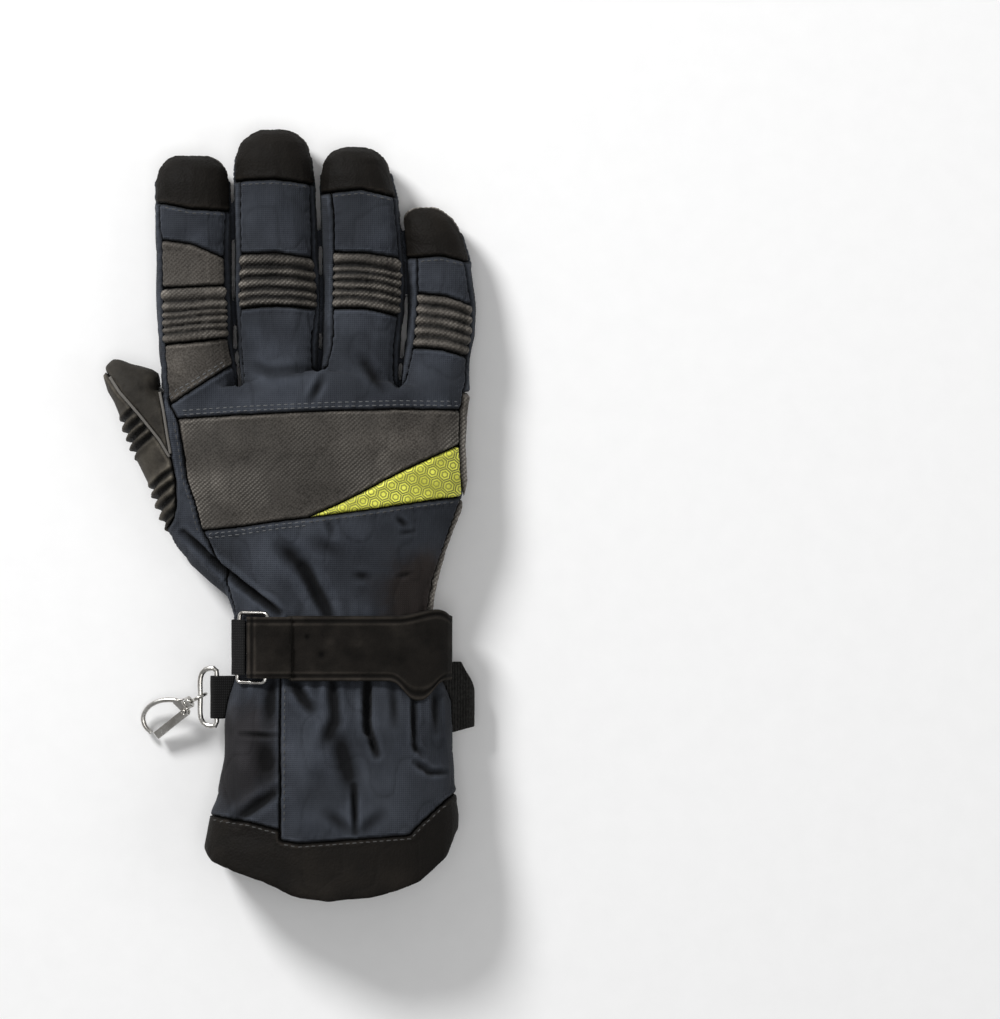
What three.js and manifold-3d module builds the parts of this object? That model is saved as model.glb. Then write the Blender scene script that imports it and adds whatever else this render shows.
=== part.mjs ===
// A fire-resistant work glove for the right hand, lying palm down.
// Millimetres. +Z is up, +Y runs to the fingertips, -X is the thumb side, and the floor is z = 0.
// The soft shell is one outer form less one inner form, cut into its sewn pieces along the seams.
import * as THREE from "three";
import { mergeVertices } from "three/addons/utils/BufferGeometryUtils.js";
import Module from "manifold-3d";

const wasm = await Module();
wasm.setup();

// Driving dimensions of the soft shell
const handWall = 3;
const seamGap = 0.3;
const cuffSeamHeight = 14;
const backSeamHeight = 19;
const frontSeamHeight = 8;
const tipLength = 11;
const beyond = 60;
const capMargin = 0.4;
const skyHeight = 70;
const farLeft = -70;
const farRight = 100;
const thumbFarLeft = -120;
const strapSeamY = -79.5;
const palmCuffY = -101.5;
const crotchY = 31;
const crotchRise = 12.9;
const ribCount = 4;
const ribHeight = 1.3;

// Sections: where up its height each is widest, its lower corners, and how square its domes are
const widestShare = 0.45;
const cornerShare = 0.5;
const largestCorner = 9;
const lowSteps = 2;
const fingerDome = 2.3;
const bodyDome = 2.6;
const leastHalf = 1;
const foldBlend = 6;
const ribBlend = 3;
const foldEndDepth = 0.35;

// Fingers: a row per section, with the silhouette's edges, the back panel's seams, and the heights
const fingers = {
  index: [
    { y: 135.2, left: -63.6, right: -47.3, seamLeft: -66.2, seamRight: -44.7, low: 9, top: 17 },
    { y: 133.3, left: -66.7, right: -43.9, seamLeft: -69.7, seamRight: -41.3, low: 5, top: 21.5 },
    { y: 129.9, left: -69.4, right: -40.9, seamLeft: -71.4, seamRight: -39.3, low: 2, top: 25 },
    { y: 123.8, left: -71.0, right: -38.9, seamLeft: -69.9, seamRight: -39.8, low: 0, top: 27 },
    { y: 98.9, left: -71.0, right: -38.3, seamLeft: -67.9, seamRight: -41.3, low: 0, top: 28 },
    { y: 77.4, left: -70.5, right: -38.1, seamLeft: -67.5, seamRight: -40.9, low: 0, top: 28 },
    { y: 55.9, left: -69.7, right: -37.6, seamLeft: -66.7, seamRight: -39.6, low: 0, top: 29 },
    { y: 36.5, left: -68.4, right: -35.3, seamLeft: -65.1, seamRight: -36.1, low: 0, top: 30 },
    { y: 17.2, left: -61.5, right: -34.4, seamLeft: -63.6, seamRight: -35.3, low: 1, top: 30 },
  ],
  middle: [
    { y: 146.6, left: -26.7, right: -14.2, seamLeft: -29.2, seamRight: -11.6, low: 9, top: 17 },
    { y: 144.5, left: -30.5, right: -9.9, seamLeft: -33.5, seamRight: -6.9, low: 5, top: 21.5 },
    { y: 141.0, left: -34.6, right: -6.0, seamLeft: -36.5, seamRight: -4.3, low: 2, top: 25 },
    { y: 134.2, left: -36.8, right: -3.4, seamLeft: -35.7, seamRight: -4.3, low: 0, top: 27 },
    { y: 124.7, left: -37.2, right: -2.1, seamLeft: -34.4, seamRight: -3.9, low: 0, top: 27.5 },
    { y: 94.6, left: -37.0, right: -0.9, seamLeft: -34.0, seamRight: -3.7, low: 0, top: 28.5 },
    { y: 73.1, left: -36.8, right: 0.0, seamLeft: -34.4, seamRight: -1.5, low: 0, top: 28.5 },
    { y: 53.8, left: -35.9, right: -0.6, seamLeft: -33.8, seamRight: -3.9, low: 0, top: 29.5 },
    { y: 39.6, left: -34.0, right: -1.3, seamLeft: -32.5, seamRight: -3.2, low: 0, top: 30.5 },
    { y: 17.2, left: -32.2, right: -3.4, seamLeft: -31.4, seamRight: -4.3, low: 1, top: 31 },
  ],
  ring: [
    { y: 138.9, left: 9.9, right: 20.2, seamLeft: 7.3, seamRight: 22.8, low: 9, top: 17 },
    { y: 137.0, left: 4.7, right: 24.5, seamLeft: 1.7, seamRight: 27.5, low: 5, top: 21.5 },
    { y: 133.7, left: 1.5, right: 27.9, seamLeft: -0.4, seamRight: 29.7, low: 2, top: 25 },
    { y: 126.8, left: -0.4, right: 30.5, seamLeft: 1.7, seamRight: 29.9, low: 0, top: 27 },
    { y: 116.1, left: -0.2, right: 33.3, seamLeft: 5.2, seamRight: 32.0, low: 0, top: 27.5 },
    { y: 98.9, left: 0.4, right: 35.3, seamLeft: 6.0, seamRight: 33.5, low: 0, top: 28 },
    { y: 81.7, left: 1.1, right: 36.5, seamLeft: 6.0, seamRight: 34.8, low: 0, top: 28.5 },
    { y: 68.8, left: 1.1, right: 36.1, seamLeft: 6.0, seamRight: 34.0, low: 0, top: 28.5 },
    { y: 53.8, left: 0.6, right: 34.4, seamLeft: 5.2, seamRight: 31.6, low: 0, top: 29 },
    { y: 37.0, left: 0.0, right: 33.5, seamLeft: 1.3, seamRight: 31.4, low: 0, top: 30 },
    { y: 17.2, left: 1.7, right: 32.7, seamLeft: 2.6, seamRight: 31.8, low: 1, top: 30.5 },
  ],
  little: [
    { y: 112.9, left: 40.4, right: 49.9, seamLeft: 37.8, seamRight: 52.5, low: 8, top: 15 },
    { y: 110.9, left: 36.8, right: 53.3, seamLeft: 34.4, seamRight: 55.5, low: 4.5, top: 19 },
    { y: 107.5, left: 35.7, right: 57.4, seamLeft: 34.0, seamRight: 58.7, low: 1.5, top: 22 },
    { y: 101.0, left: 35.9, right: 61.3, seamLeft: 38.1, seamRight: 60.4, low: 0, top: 24 },
    { y: 89.4, left: 37.0, right: 64.5, seamLeft: 42.1, seamRight: 63.2, low: 0, top: 24.5 },
    { y: 73.1, left: 37.6, right: 67.3, seamLeft: 42.1, seamRight: 65.6, low: 0, top: 25 },
    { y: 58.0, left: 36.8, right: 66.9, seamLeft: 40.9, seamRight: 64.9, low: 0, top: 26 },
    { y: 47.3, left: 35.5, right: 64.9, seamLeft: 39.1, seamRight: 63.0, low: 0, top: 28 },
    { y: 36.5, left: 34.8, right: 64.1, seamLeft: 36.5, seamRight: 62.1, low: 0, top: 29.5 },
    { y: 17.2, left: 35.3, right: 61.9, seamLeft: 36.1, seamRight: 61.1, low: 1, top: 30 },
  ],
};

// Seams across the fingers: y at the left, middle and right of the back panel
const crossSeams = {
  index: {
    cap: { left: 114.8, middle: 111.8, right: 111.4 },
    strip: { left: 98.9, middle: 96.8, right: 91.2 },
    ribs: { left: 78.3, middle: 78.7, right: 79.5 },
    below: { left: 53.8, middle: 55.0, right: 56.8 },
    lower: { left: 27.9, middle: 36.5, right: 45.1 },
  },
  middle: {
    cap: { left: 124.3, middle: 124.7, right: 123.0 },
    ribs: { left: 92.9, middle: 93.3, right: 91.2 },
    below: { left: 69.2, middle: 70.5, right: 69.2 },
  },
  ring: {
    cap: { left: 119.1, middle: 120.4, right: 117.4 },
    ribs: { left: 93.7, middle: 93.3, right: 91.2 },
    below: { left: 69.2, middle: 69.2, right: 66.2 },
  },
  little: {
    cap: { left: 91.2, middle: 92.0, right: 89.4 },
    ribs: { left: 76.1, middle: 74.8, right: 71.0 },
    below: { left: 52.5, middle: 51.6, right: 48.6 },
  },
};

// Hand, wrist and gauntlet: a row per section, from the knuckles to beyond the mouth
const bodyRows = [
  { y: crotchY, left: -67.9, right: 64.5, low: 0, top: 31 },
  { y: 25.8, left: -64.5, right: 63.6, low: 0, top: 34.5 },
  { y: 9.5, left: -63.0, right: 62.6, low: 0, top: 37.5 },
  { y: -4.5, left: -61.0, right: 62.8, low: 0, top: 38 },
  { y: -18.1, left: -56.8, right: 60.6, low: 0, top: 37.5 },
  { y: -25.8, left: -53.8, right: 57.4, low: 0, top: 37 },
  { y: -34.4, left: -50.3, right: 54.4, low: 0, top: 36.5 },
  { y: -43.0, left: -46.0, right: 51.6, low: 0, top: 35.5 },
  { y: -51.6, left: -40.4, right: 49.4, low: 0.3, top: 34 },
  { y: -61.1, left: -37.0, right: 47.9, low: 0.6, top: 32.5 },
  { y: -73.1, left: -35.4, right: 48.4, low: 0.8, top: 32 },
  { y: -83.4, left: -35.4, right: 49.2, low: 0.6, top: 32.5 },
  { y: -91.2, left: -37.0, right: 52.6, low: 0.3, top: 33.5 },
  { y: -98.9, left: -39.6, right: 56.6, low: 0, top: 36.5 },
  { y: -109.6, left: -41.3, right: 57.2, low: 0, top: 40 },
  { y: -122.5, left: -41.7, right: 57.2, low: 0, top: 41 },
  { y: -141.0, left: -44.1, right: 58.9, low: 0, top: 42.5 },
  { y: -148.3, left: -47.3, right: 59.8, low: 0, top: 43.5 },
  { y: -163.4, left: -50.1, right: 59.1, low: 0, top: 45.5 },
  { y: -191.3, left: -51.6, right: 58.9, low: 0, top: 46 },
];

// Thumb: each section runs from its outer edge to the edge beside the palm
const thumbRows = [
  { leftX: -89.0, leftY: 46.4, rightX: -77.4, rightY: 44.7, low: 9, top: 17 },
  { leftX: -91.4, leftY: 44.3, rightX: -72.7, rightY: 42.6, low: 5, top: 21 },
  { leftX: -93.1, leftY: 40.4, rightX: -70.9, rightY: 39.1, low: 2, top: 24.5 },
  { leftX: -92.0, leftY: 34.4, rightX: -70.5, rightY: 34.0, low: 0, top: 26 },
  { leftX: -89.4, leftY: 29.7, rightX: -65.4, rightY: 31.4, low: 0, top: 26.5 },
  { leftX: -84.7, leftY: 18.1, rightX: -55.0, rightY: 27.5, low: 0, top: 27 },
  { leftX: -80.0, leftY: 5.6, rightX: -46.4, rightY: 18.1, low: 0, top: 27 },
  { leftX: -73.1, leftY: -7.7, rightX: -37.8, rightY: 7.7, low: 0, top: 27 },
  { leftX: -67.5, leftY: -23.2, rightX: -29.2, rightY: -6.9, low: 0, top: 27 },
  { leftX: -55.9, leftY: -40.9, rightX: -22.4, rightY: -25.8, low: 0, top: 26 },
  { leftX: -46.9, leftY: -48.6, rightX: -17.2, rightY: -43.0, low: 0.5, top: 24 },
  { leftX: -37.8, leftY: -55.9, rightX: -15.0, rightY: -56.8, low: 1, top: 20 },
];

// Folds pressed into the back: start and end in plan, depth and half-width
const folds = [
  { startX: -57.2, startY: -28.8, endX: -19.4, endY: -60.2, depth: 4, width: 4.5 },
  { startX: 0.0, startY: -38.7, endX: 0.9, endY: -61.1, depth: 2.5, width: 4 },
  { startX: -32.2, startY: -33.5, endX: -24.9, endY: -55.9, depth: 1.5, width: 4 },
  { startX: 20.6, startY: -92.5, endX: 24.1, endY: -121.3, depth: 4, width: 4 },
  { startX: 15.9, startY: -135.9, endX: 15.9, endY: -153.9, depth: 2.5, width: 4 },
  { startX: 40.9, startY: -98.9, endX: 51.6, endY: -130.3, depth: 2.5, width: 4 },
  { startX: 2.1, startY: -98.9, endX: 15.5, endY: -141.9, depth: 1.8, width: 4 },
  { startX: -32.2, startY: -148.3, endX: -18.1, endY: -137.6, depth: 1.5, width: 4 },
];

// Seam lines in plan, each a few corners joined by straight stretches
const bandTop = line([-61.1, 21.9], [-34.4, 23.6], [4.3, 25.4], [34.4, 26.2], [60.2, 25.8]);
const bandLeft = line([-61.1, 21.9], [-58.9, 10.8], [-56.8, -4.3], [-53.8, -12.9], [-50.3, -26.2]);
const bandBottom = line([-50.3, -26.2], [-34.4, -24.5], [-17.2, -21.9], [-5.2, -20.6]);
const wedgeTop = line([-5.2, -20.6], [12.9, -12.5], [34.8, -0.9], [60.0, 10.8]);
const wedgeBottom = line([-5.2, -20.6], [23.6, -16.8], [46.4, -13.3], [60.6, -11.6]);
const handRight = line([62.1, 36.5], [61.1, 33.5], [60.2, 25.8]);
const wristRight = line(
  [60.6, -11.6], [55.5, -25.8], [51.6, -36.5], [48.2, -47.3], [46.0, -58.0], [46.0, strapSeamY],
);
const wristLeft = line([-50.3, -26.2], [-43.0, -39.6], [-39.6, -47.3], [-36.1, -60.2], [-34.4, strapSeamY]);
const piping = line(
  [-96.8, 47.3], [-92.0, 42.1], [-86.0, 33.5], [-77.4, 23.6], [-68.8, 12.9], [-63.6, 4.3],
);
const dorsalTopEdge = line([-63.6, 4.3], [-61.9, -4.3], [-61.5, -13.8], [-62.8, -20.6], [-66.2, -25.8]);
const palmEdge = line(
  [-69.5, 51.6], [-69.5, 40.4], [-68.8, 33.5], [-67.1, 25.8], [-65.4, 15.0], [-63.6, 4.3],
);
const underSeam = line(
  [-96.8, 47.3], [-92.0, 42.1], [-84.0, 34.0], [-73.0, 23.0], [-55.9, 5.2], [-32.2, -18.9], [-7.7, -43.9],
);
const underArc = line(
  [-69.5, 31.0], [-61.9, 24.9], [-38.3, 7.7], [-18.9, -4.7], [-11.2, -17.6], [-6.9, -32.7], [-7.7, -43.9],
);
const dorsalUnderEdge = line([-7.7, -43.9], [-27.9, -44.7], [-40.9, -42.1], [-53.8, -35.3], [-66.2, -25.8]);
const palmLeftLow = line([-7.7, -43.9], [-6.5, -55.9], [-6.0, -73.1], [-10.3, -86.9], [-14.6, palmCuffY]);
const hemTopLeft = line([-64.5, -147.5], [-45.1, -148.3], [-30.1, -150.5], [-16.8, -153.9]);
const hemTopRight = line(
  [-16.4, -158.2], [-8.6, -159.5], [15.0, -157.8], [38.7, -156.1], [43.6, -151], [53.8, -141.9], [70, -131],
);
const hemBottom = line(
  [-64.5, -158], [-50.3, -162.1], [-46.4, -167.7], [-36.5, -172.0], [-23.6, -176.3], [-10.8, -182.3],
  [4.3, -184.5], [25.8, -182.3], [43.0, -176.3], [54.6, -166.0], [58.9, -154.8], [70, -148],
);
const palmHem = line(
  [-64.5, -158], [-50.3, -162.1], [-45.1, -166.8], [-30.1, -169.4], [4.3, -171.1], [34.4, -170.3],
  [51.6, -163.4], [58.9, -155.7], [70, -150],
);
const panelSeamX = -16.6;

function line(...corners) {
  return corners.map(([x, y]) => new THREE.Vector2(x, y));
}

function reversed(corners) {
  return [...corners].reverse();
}

// A value of a table between its rows, along falling y
function valueAt(rows, column, y) {
  const last = rows.length - 1;
  if (y >= rows[0].y) return rows[0][column];
  if (y <= rows[last].y) return rows[last][column];
  const next = rows.findIndex((row) => row.y <= y);
  const above = rows[next - 1];
  const below = rows[next];
  const share = (above.y - y) / (above.y - below.y);
  return above[column] + (below[column] - above[column]) * share;
}

// A ring of points around a section: a domed top, and a flat bottom with round corners
function ring({ left, right, low, top, topSteps, dome }) {
  const middle = left.clone().add(right).multiplyScalar(0.5);
  const half = right.clone().sub(left).multiplyScalar(0.5);
  const halfWidth = half.length();
  const sideHeight = low + (top - low) * widestShare;
  const corner = Math.min(halfWidth * cornerShare, largestCorner) / halfWidth;
  const points = [];
  const place = (across, z) => {
    points.push(new THREE.Vector3(middle.x + half.x * across, middle.y + half.y * across, z));
  };
  for (let step = 0; step <= topSteps; step += 1) {
    const angle = (Math.PI * step) / topSteps;
    const across = Math.sign(Math.cos(angle)) * Math.abs(Math.cos(angle)) ** (2 / dome);
    const up = Math.max(Math.sin(angle), 0) ** (2 / dome);
    place(across, sideHeight + (top - sideHeight) * up);
  }
  const lowCorner = (side, share) => {
    const angle = (Math.PI / 2) * share;
    place(side * (1 - corner * (1 - Math.cos(angle))), sideHeight - (sideHeight - low) * Math.sin(angle));
  };
  for (let step = 1; step <= lowSteps; step += 1) lowCorner(-1, step / lowSteps);
  for (let step = lowSteps; step >= 1; step -= 1) lowCorner(1, step / lowSteps);
  return points;
}

// A closed solid through rings with equal numbers of points
function loft(rings) {
  const around = rings[0].length;
  const positions = rings.flat().flatMap((point) => [point.x, point.y, point.z]);
  const faces = [];
  for (let row = 0; row + 1 < rings.length; row += 1) {
    for (let step = 0; step < around; step += 1) {
      const here = row * around + step;
      const beside = row * around + ((step + 1) % around);
      faces.push(here, beside, here + around, beside, beside + around, here + around);
    }
  }
  const lastRing = (rings.length - 1) * around;
  for (let step = 1; step + 1 < around; step += 1) {
    faces.push(0, step + 1, step);
    faces.push(lastRing, lastRing + step, lastRing + step + 1);
  }
  const geometry = new THREE.BufferGeometry();
  geometry.setAttribute("position", new THREE.Float32BufferAttribute(positions, 3));
  geometry.setIndex(faces);
  return solidOf(geometry);
}

function solidOf(geometry) {
  const bare = geometry.clone();
  bare.deleteAttribute("normal");
  bare.deleteAttribute("uv");
  const merged = mergeVertices(bare, 1e-4);
  const solid = new wasm.Manifold(
    new wasm.Mesh({
      numProp: 3,
      vertProperties: new Float32Array(merged.attributes.position.array),
      triVerts: new Uint32Array(merged.index.array),
    }),
  );
  if (solid.volume() > 0) return solid;
  return solidOf(turnedOut(merged));
}

function turnedOut(geometry) {
  const faces = geometry.index.array;
  for (let first = 0; first < faces.length; first += 3) {
    const second = faces[first + 1];
    faces[first + 1] = faces[first + 2];
    faces[first + 2] = second;
  }
  return geometry;
}

function geometryOf(solid) {
  const mesh = solid.getMesh();
  const geometry = new THREE.BufferGeometry();
  geometry.setAttribute("position", new THREE.BufferAttribute(new Float32Array(mesh.vertProperties), 3));
  geometry.setIndex(new THREE.BufferAttribute(new Uint32Array(mesh.triVerts), 1));
  geometry.computeVertexNormals();
  return geometry;
}

function joined(solids) {
  return solids.reduce((whole, solid) => whole.add(solid));
}

// An outline moved inwards by a distance, or outwards where the distance is negative
function inset(outline, distance) {
  const turn = THREE.ShapeUtils.area(outline) > 0 ? 1 : -1;
  return outline.map((point, index) => {
    const before = outline[(index + outline.length - 1) % outline.length];
    const after = outline[(index + 1) % outline.length];
    const enter = point.clone().sub(before).normalize();
    const leave = after.clone().sub(point).normalize();
    const enterNormal = new THREE.Vector2(-enter.y, enter.x).multiplyScalar(turn);
    const leaveNormal = new THREE.Vector2(-leave.y, leave.x).multiplyScalar(turn);
    const spread = Math.max(1 + enterNormal.dot(leaveNormal), 0.3);
    return point.clone().addScaledVector(enterNormal.add(leaveNormal), distance / spread);
  });
}

function prism(outline, low, high) {
  const shape = new THREE.Shape(outline);
  const geometry = new THREE.ExtrudeGeometry(shape, { depth: high - low, bevelEnabled: false });
  geometry.translate(0, 0, low);
  return solidOf(geometry);
}

// How far the folds press a point of the back down
function foldDepth(x, y) {
  return folds.reduce((depth, fold) => {
    const start = new THREE.Vector2(fold.startX, fold.startY);
    const along = new THREE.Vector2(fold.endX, fold.endY).sub(start);
    const from = new THREE.Vector2(x, y).sub(start);
    const share = THREE.MathUtils.clamp(from.dot(along) / along.lengthSq(), 0, 1);
    const away = from.distanceTo(along.clone().multiplyScalar(share));
    const fade = foldEndDepth + (1 - foldEndDepth) * Math.sin(Math.PI * share);
    return depth + fold.depth * fade * Math.exp(-((away / fold.width) ** 2));
  }, 0);
}

// The finger's sections, with rows added where the padded ribs rise and fall
function fingerRings(name, wall) {
  const rows = fingers[name];
  const { ribs, below } = crossSeams[name];
  const ribLevels = [];
  const spacing = (ribs.middle - below.middle) / ribCount;
  for (let half = 0; half <= ribCount * 2; half += 1) {
    ribLevels.push({ y: ribs.middle - (half * spacing) / 2, rise: half % 2 === 1 ? ribHeight : 0 });
  }
  const clear = (row) => row.y > ribs.middle + 2 || row.y < below.middle - 2;
  const plain = rows.filter(clear).map((row) => ({ y: row.y, rise: 0 }));
  const levels = wall > 0 ? rows.map((row) => ({ y: row.y, rise: 0 })) : [...plain, ...ribLevels];
  levels.sort((one, other) => other.y - one.y);
  return levels.map(({ y, rise }) => {
    const at = (column) => valueAt(rows, column, y);
    const middle = (at("left") + at("right")) / 2;
    const halfWidth = Math.max((at("right") - at("left")) / 2 - wall, leastHalf);
    const centre = (at("low") + at("top")) / 2;
    const points = ring({
      left: new THREE.Vector2(middle - halfWidth, y - wall),
      right: new THREE.Vector2(middle + halfWidth, y - wall),
      low: Math.min(at("low") + wall, centre - leastHalf / 2),
      top: Math.max(at("top") - wall, centre + leastHalf / 2),
      topSteps: wall > 0 ? 6 : 8,
      dome: fingerDome,
    });
    points.forEach((point) => {
      point.z += rise * THREE.MathUtils.clamp((point.z - backSeamHeight) / ribBlend, 0, 1);
    });
    return points;
  });
}

function bodyRings(wall) {
  return bodyRows.map((row, index) => {
    const openEnd = index === bodyRows.length - 1;
    const y = openEnd && wall > 0 ? row.y - wall : row.y;
    const points = ring({
      left: new THREE.Vector2(row.left + wall, y),
      right: new THREE.Vector2(row.right - wall, y),
      low: row.low + wall,
      top: row.top - wall,
      topSteps: wall > 0 ? 12 : 18,
      dome: bodyDome,
    });
    const middle = (row.left + row.right) / 2;
    const halfWidth = (row.right - row.left) / 2;
    const sideHeight = row.low + (row.top - row.low) * widestShare;
    points.forEach((point) => {
      const upper = THREE.MathUtils.clamp((point.z - sideHeight) / foldBlend, 0, 1);
      point.z -= upper * foldDepth(point.x, point.y);
      if (index > 0) return;
      const tent = 1 - Math.abs(point.x - middle) / halfWidth;
      point.y += crotchRise * Math.max(tent, 0) - wall;
    });
    return points;
  });
}

// The inner form of the thumb is drawn in at both ends, so it stays inside at the tip and the root
function thumbRings(wall) {
  return thumbRows.map((row, index) => {
    const drawnIn = wall * (1 - (2 * index) / (thumbRows.length - 1));
    const left = new THREE.Vector2(row.leftX, row.leftY);
    const right = new THREE.Vector2(row.rightX, row.rightY);
    const across = right.clone().sub(left);
    const trim = Math.min(wall, across.length() / 2 - leastHalf);
    const inward = across.clone().normalize().multiplyScalar(trim);
    const back = new THREE.Vector2(across.y, -across.x).normalize().multiplyScalar(drawnIn);
    const centre = (row.low + row.top) / 2;
    return ring({
      left: left.clone().add(inward).add(back),
      right: right.clone().sub(inward).add(back),
      low: Math.min(row.low + wall, centre - leastHalf / 2),
      top: Math.max(row.top - wall, centre + leastHalf / 2),
      topSteps: wall > 0 ? 6 : 10,
      dome: fingerDome,
    });
  });
}

function handForm(wall) {
  const fingerForms = Object.keys(fingers).map((name) => loft(fingerRings(name, wall)));
  return joined([loft(bodyRings(wall)), ...fingerForms, loft(thumbRings(wall))]);
}

// A finger's seam on one side of its back panel, between two heights of y
function fingerSeam(name, side, from, to) {
  const between = (row) => row.y < Math.max(from, to) - 0.5 && row.y > Math.min(from, to) + 0.5;
  const rows = fingers[name].filter(between);
  const column = side === "left" ? "seamLeft" : "seamRight";
  const at = (y) => new THREE.Vector2(valueAt(fingers[name], column, y), y);
  const points = [at(Math.max(from, to)), ...rows.map((row) => at(row.y)), at(Math.min(from, to))];
  return from > to ? points : points.reverse();
}

// A seam across a finger's back panel, from left to right
function crossSeam(name, seam) {
  const heights = crossSeams[name][seam];
  const leftX = valueAt(fingers[name], "seamLeft", heights.left);
  const rightX = valueAt(fingers[name], "seamRight", heights.right);
  return line([leftX, heights.left], [(leftX + rightX) / 2, heights.middle], [rightX, heights.right]);
}

// The outline of a finger's back panel between two of its cross seams
function fingerPanel(name, upper, lower) {
  const low = crossSeams[name][lower];
  const high = crossSeams[name][upper];
  const right = fingerSeam(name, "right", low.right, high.right).slice(1, -1);
  const left = fingerSeam(name, "left", high.left, low.left).slice(1, -1);
  return [...crossSeam(name, lower), ...right, ...reversed(crossSeam(name, upper)), ...left];
}

// The outline of a fingertip's cap, which wraps the finger's sides from its seam to the tip
function capOutline(name) {
  const seam = crossSeams[name].cap;
  const end = fingers[name][3];
  const left = valueAt(fingers[name], "left", seam.left) - capMargin;
  const right = valueAt(fingers[name], "right", seam.right) + capMargin;
  const pastTip = fingers[name][0].y + beyond;
  return [
    new THREE.Vector2(left, seam.left),
    ...crossSeam(name, "cap"),
    ...line([right, seam.right], [end.right + capMargin, end.y], [end.right + capMargin, pastTip]),
    ...line([end.left - capMargin, pastTip], [end.left - capMargin, end.y]),
  ];
}

const crotches = {
  index: new THREE.Vector2(-34.8, 35.2),
  middle: new THREE.Vector2(-0.9, 41.6),
  ring: new THREE.Vector2(34.0, 34.6),
};
const seamFoot = {
  index: { left: 37.5, right: 37.5 },
  middle: { left: 37.5, right: 44.5 },
  ring: { left: 44.5, right: 37 },
  little: { left: 37.5, right: 36.5 },
};

// Up and down a finger's seams, from the thumb side to the outer side, to a cross seam or round the tip
function fingerRun(name, seam) {
  const { left: leftFoot, right: rightFoot } = seamFoot[name];
  if (seam === "tip") {
    const tip = fingers[name][0];
    const over = line([tip.seamLeft, tip.y + beyond], [tip.seamRight, tip.y + beyond]);
    const up = fingerSeam(name, "left", leftFoot, tip.y);
    const down = fingerSeam(name, "right", tip.y, rightFoot);
    return [...up, ...over, ...down];
  }
  const stop = crossSeams[name][seam];
  const up = fingerSeam(name, "left", leftFoot, stop.left).slice(0, -1);
  const down = fingerSeam(name, "right", stop.right, rightFoot).slice(1);
  return [...up, ...crossSeam(name, seam), ...down];
}

function handBackUpperOutline() {
  const diagonal = crossSeam("index", "lower");
  return [
    ...diagonal,
    ...fingerSeam("index", "right", crossSeams.index.lower.right, seamFoot.index.right).slice(1),
    crotches.index,
    ...fingerRun("middle", "below"),
    crotches.middle,
    ...fingerRun("ring", "below"),
    crotches.ring,
    ...fingerRun("little", "below"),
    ...handRight.slice(1),
    ...reversed(bandTop).slice(1),
  ];
}

function palmOutline() {
  return [
    ...reversed(underArc).slice(0, -1),
    crotches.index,
    ...fingerRun("middle", "tip"),
    crotches.middle,
    ...fingerRun("ring", "tip"),
    crotches.ring,
    ...fingerRun("little", "tip"),
    new THREE.Vector2(farRight, 33.5),
    new THREE.Vector2(farRight, palmCuffY),
    ...reversed(palmLeftLow).slice(0, -1),
  ];
}

// The index finger's front is sewn to the palm from the crotch down to the thumb's seam
function indexFrontOutline() {
  return [underArc[1], ...fingerRun("index", "tip"), crotches.index];
}

const wrapOutline = [
  ...handRight.slice(1),
  new THREE.Vector2(60.0, 10.8),
  ...wristRight,
  new THREE.Vector2(farRight, strapSeamY),
  new THREE.Vector2(farRight, 33.5),
];

const wristSideOutline = line([5, palmCuffY], [farRight, palmCuffY], [farRight, -70], [5, -70]);

const piecesOnTop = {
  tip_cap_index: capOutline("index"),
  tip_cap_middle: capOutline("middle"),
  tip_cap_ring: capOutline("ring"),
  tip_cap_little: capOutline("little"),
  finger_back_index: fingerPanel("index", "cap", "strip"),
  finger_back_middle: fingerPanel("middle", "cap", "ribs"),
  finger_back_ring: fingerPanel("ring", "cap", "ribs"),
  finger_back_little: fingerPanel("little", "cap", "ribs"),
  index_leather_upper: fingerPanel("index", "strip", "ribs"),
  knuckle_ribs_index: fingerPanel("index", "ribs", "below"),
  knuckle_ribs_middle: fingerPanel("middle", "ribs", "below"),
  knuckle_ribs_ring: fingerPanel("ring", "ribs", "below"),
  knuckle_ribs_little: fingerPanel("little", "ribs", "below"),
  index_leather_lower: fingerPanel("index", "below", "lower"),
  hand_back_upper: handBackUpperOutline(),
  knuckle_band: [
    ...bandTop,
    ...reversed(wedgeTop),
    ...reversed(bandBottom).slice(1),
    ...reversed(bandLeft).slice(1, -1),
  ],
  reflective_wedge: [...wedgeTop, ...reversed(wedgeBottom).slice(0, -1)],
  hand_back_lower: [
    ...wristLeft,
    ...reversed(wristRight),
    ...reversed(wedgeBottom).slice(1),
    ...reversed(bandBottom).slice(1, -1),
  ],
  gauntlet_back_thumb_side: [
    ...line([farLeft, strapSeamY], [panelSeamX, strapSeamY]),
    ...reversed(hemTopLeft),
  ],
  gauntlet_back: [
    ...line([panelSeamX, strapSeamY], [farRight, strapSeamY]),
    ...reversed(hemTopRight),
  ],
  gauntlet_hem: [...hemTopLeft, ...hemTopRight, ...reversed(hemBottom)],
};

const gauntletPalmOutline = [
  ...line([farLeft, palmCuffY], [farRight, palmCuffY]),
  ...reversed(palmHem),
];
const thumbOutside = line([thumbFarLeft, -25.8], [thumbFarLeft, 47.3]);
const thumbDorsalTop = [...piping, ...dorsalTopEdge.slice(1), ...thumbOutside];
const thumbDorsalUnder = [...underSeam, ...dorsalUnderEdge.slice(1), ...thumbOutside];
const thumbPalmarTop = [...piping, ...reversed(palmEdge).slice(1), ...line([-96.8, 51.6])];
const thumbPalmarUnder = [
  ...underSeam,
  ...reversed(underArc).slice(1),
  ...line([-69.5, 51.6], [-96.8, 51.6]),
];

const halfGap = seamGap / 2;
const above = cuffSeamHeight + halfGap;
const under = cuffSeamHeight - halfGap;
const ground = -5;
const simplest = 0.14;

const outer = handForm(0);
const shell = outer.subtract(handForm(handWall));
const group = new THREE.Group();

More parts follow.
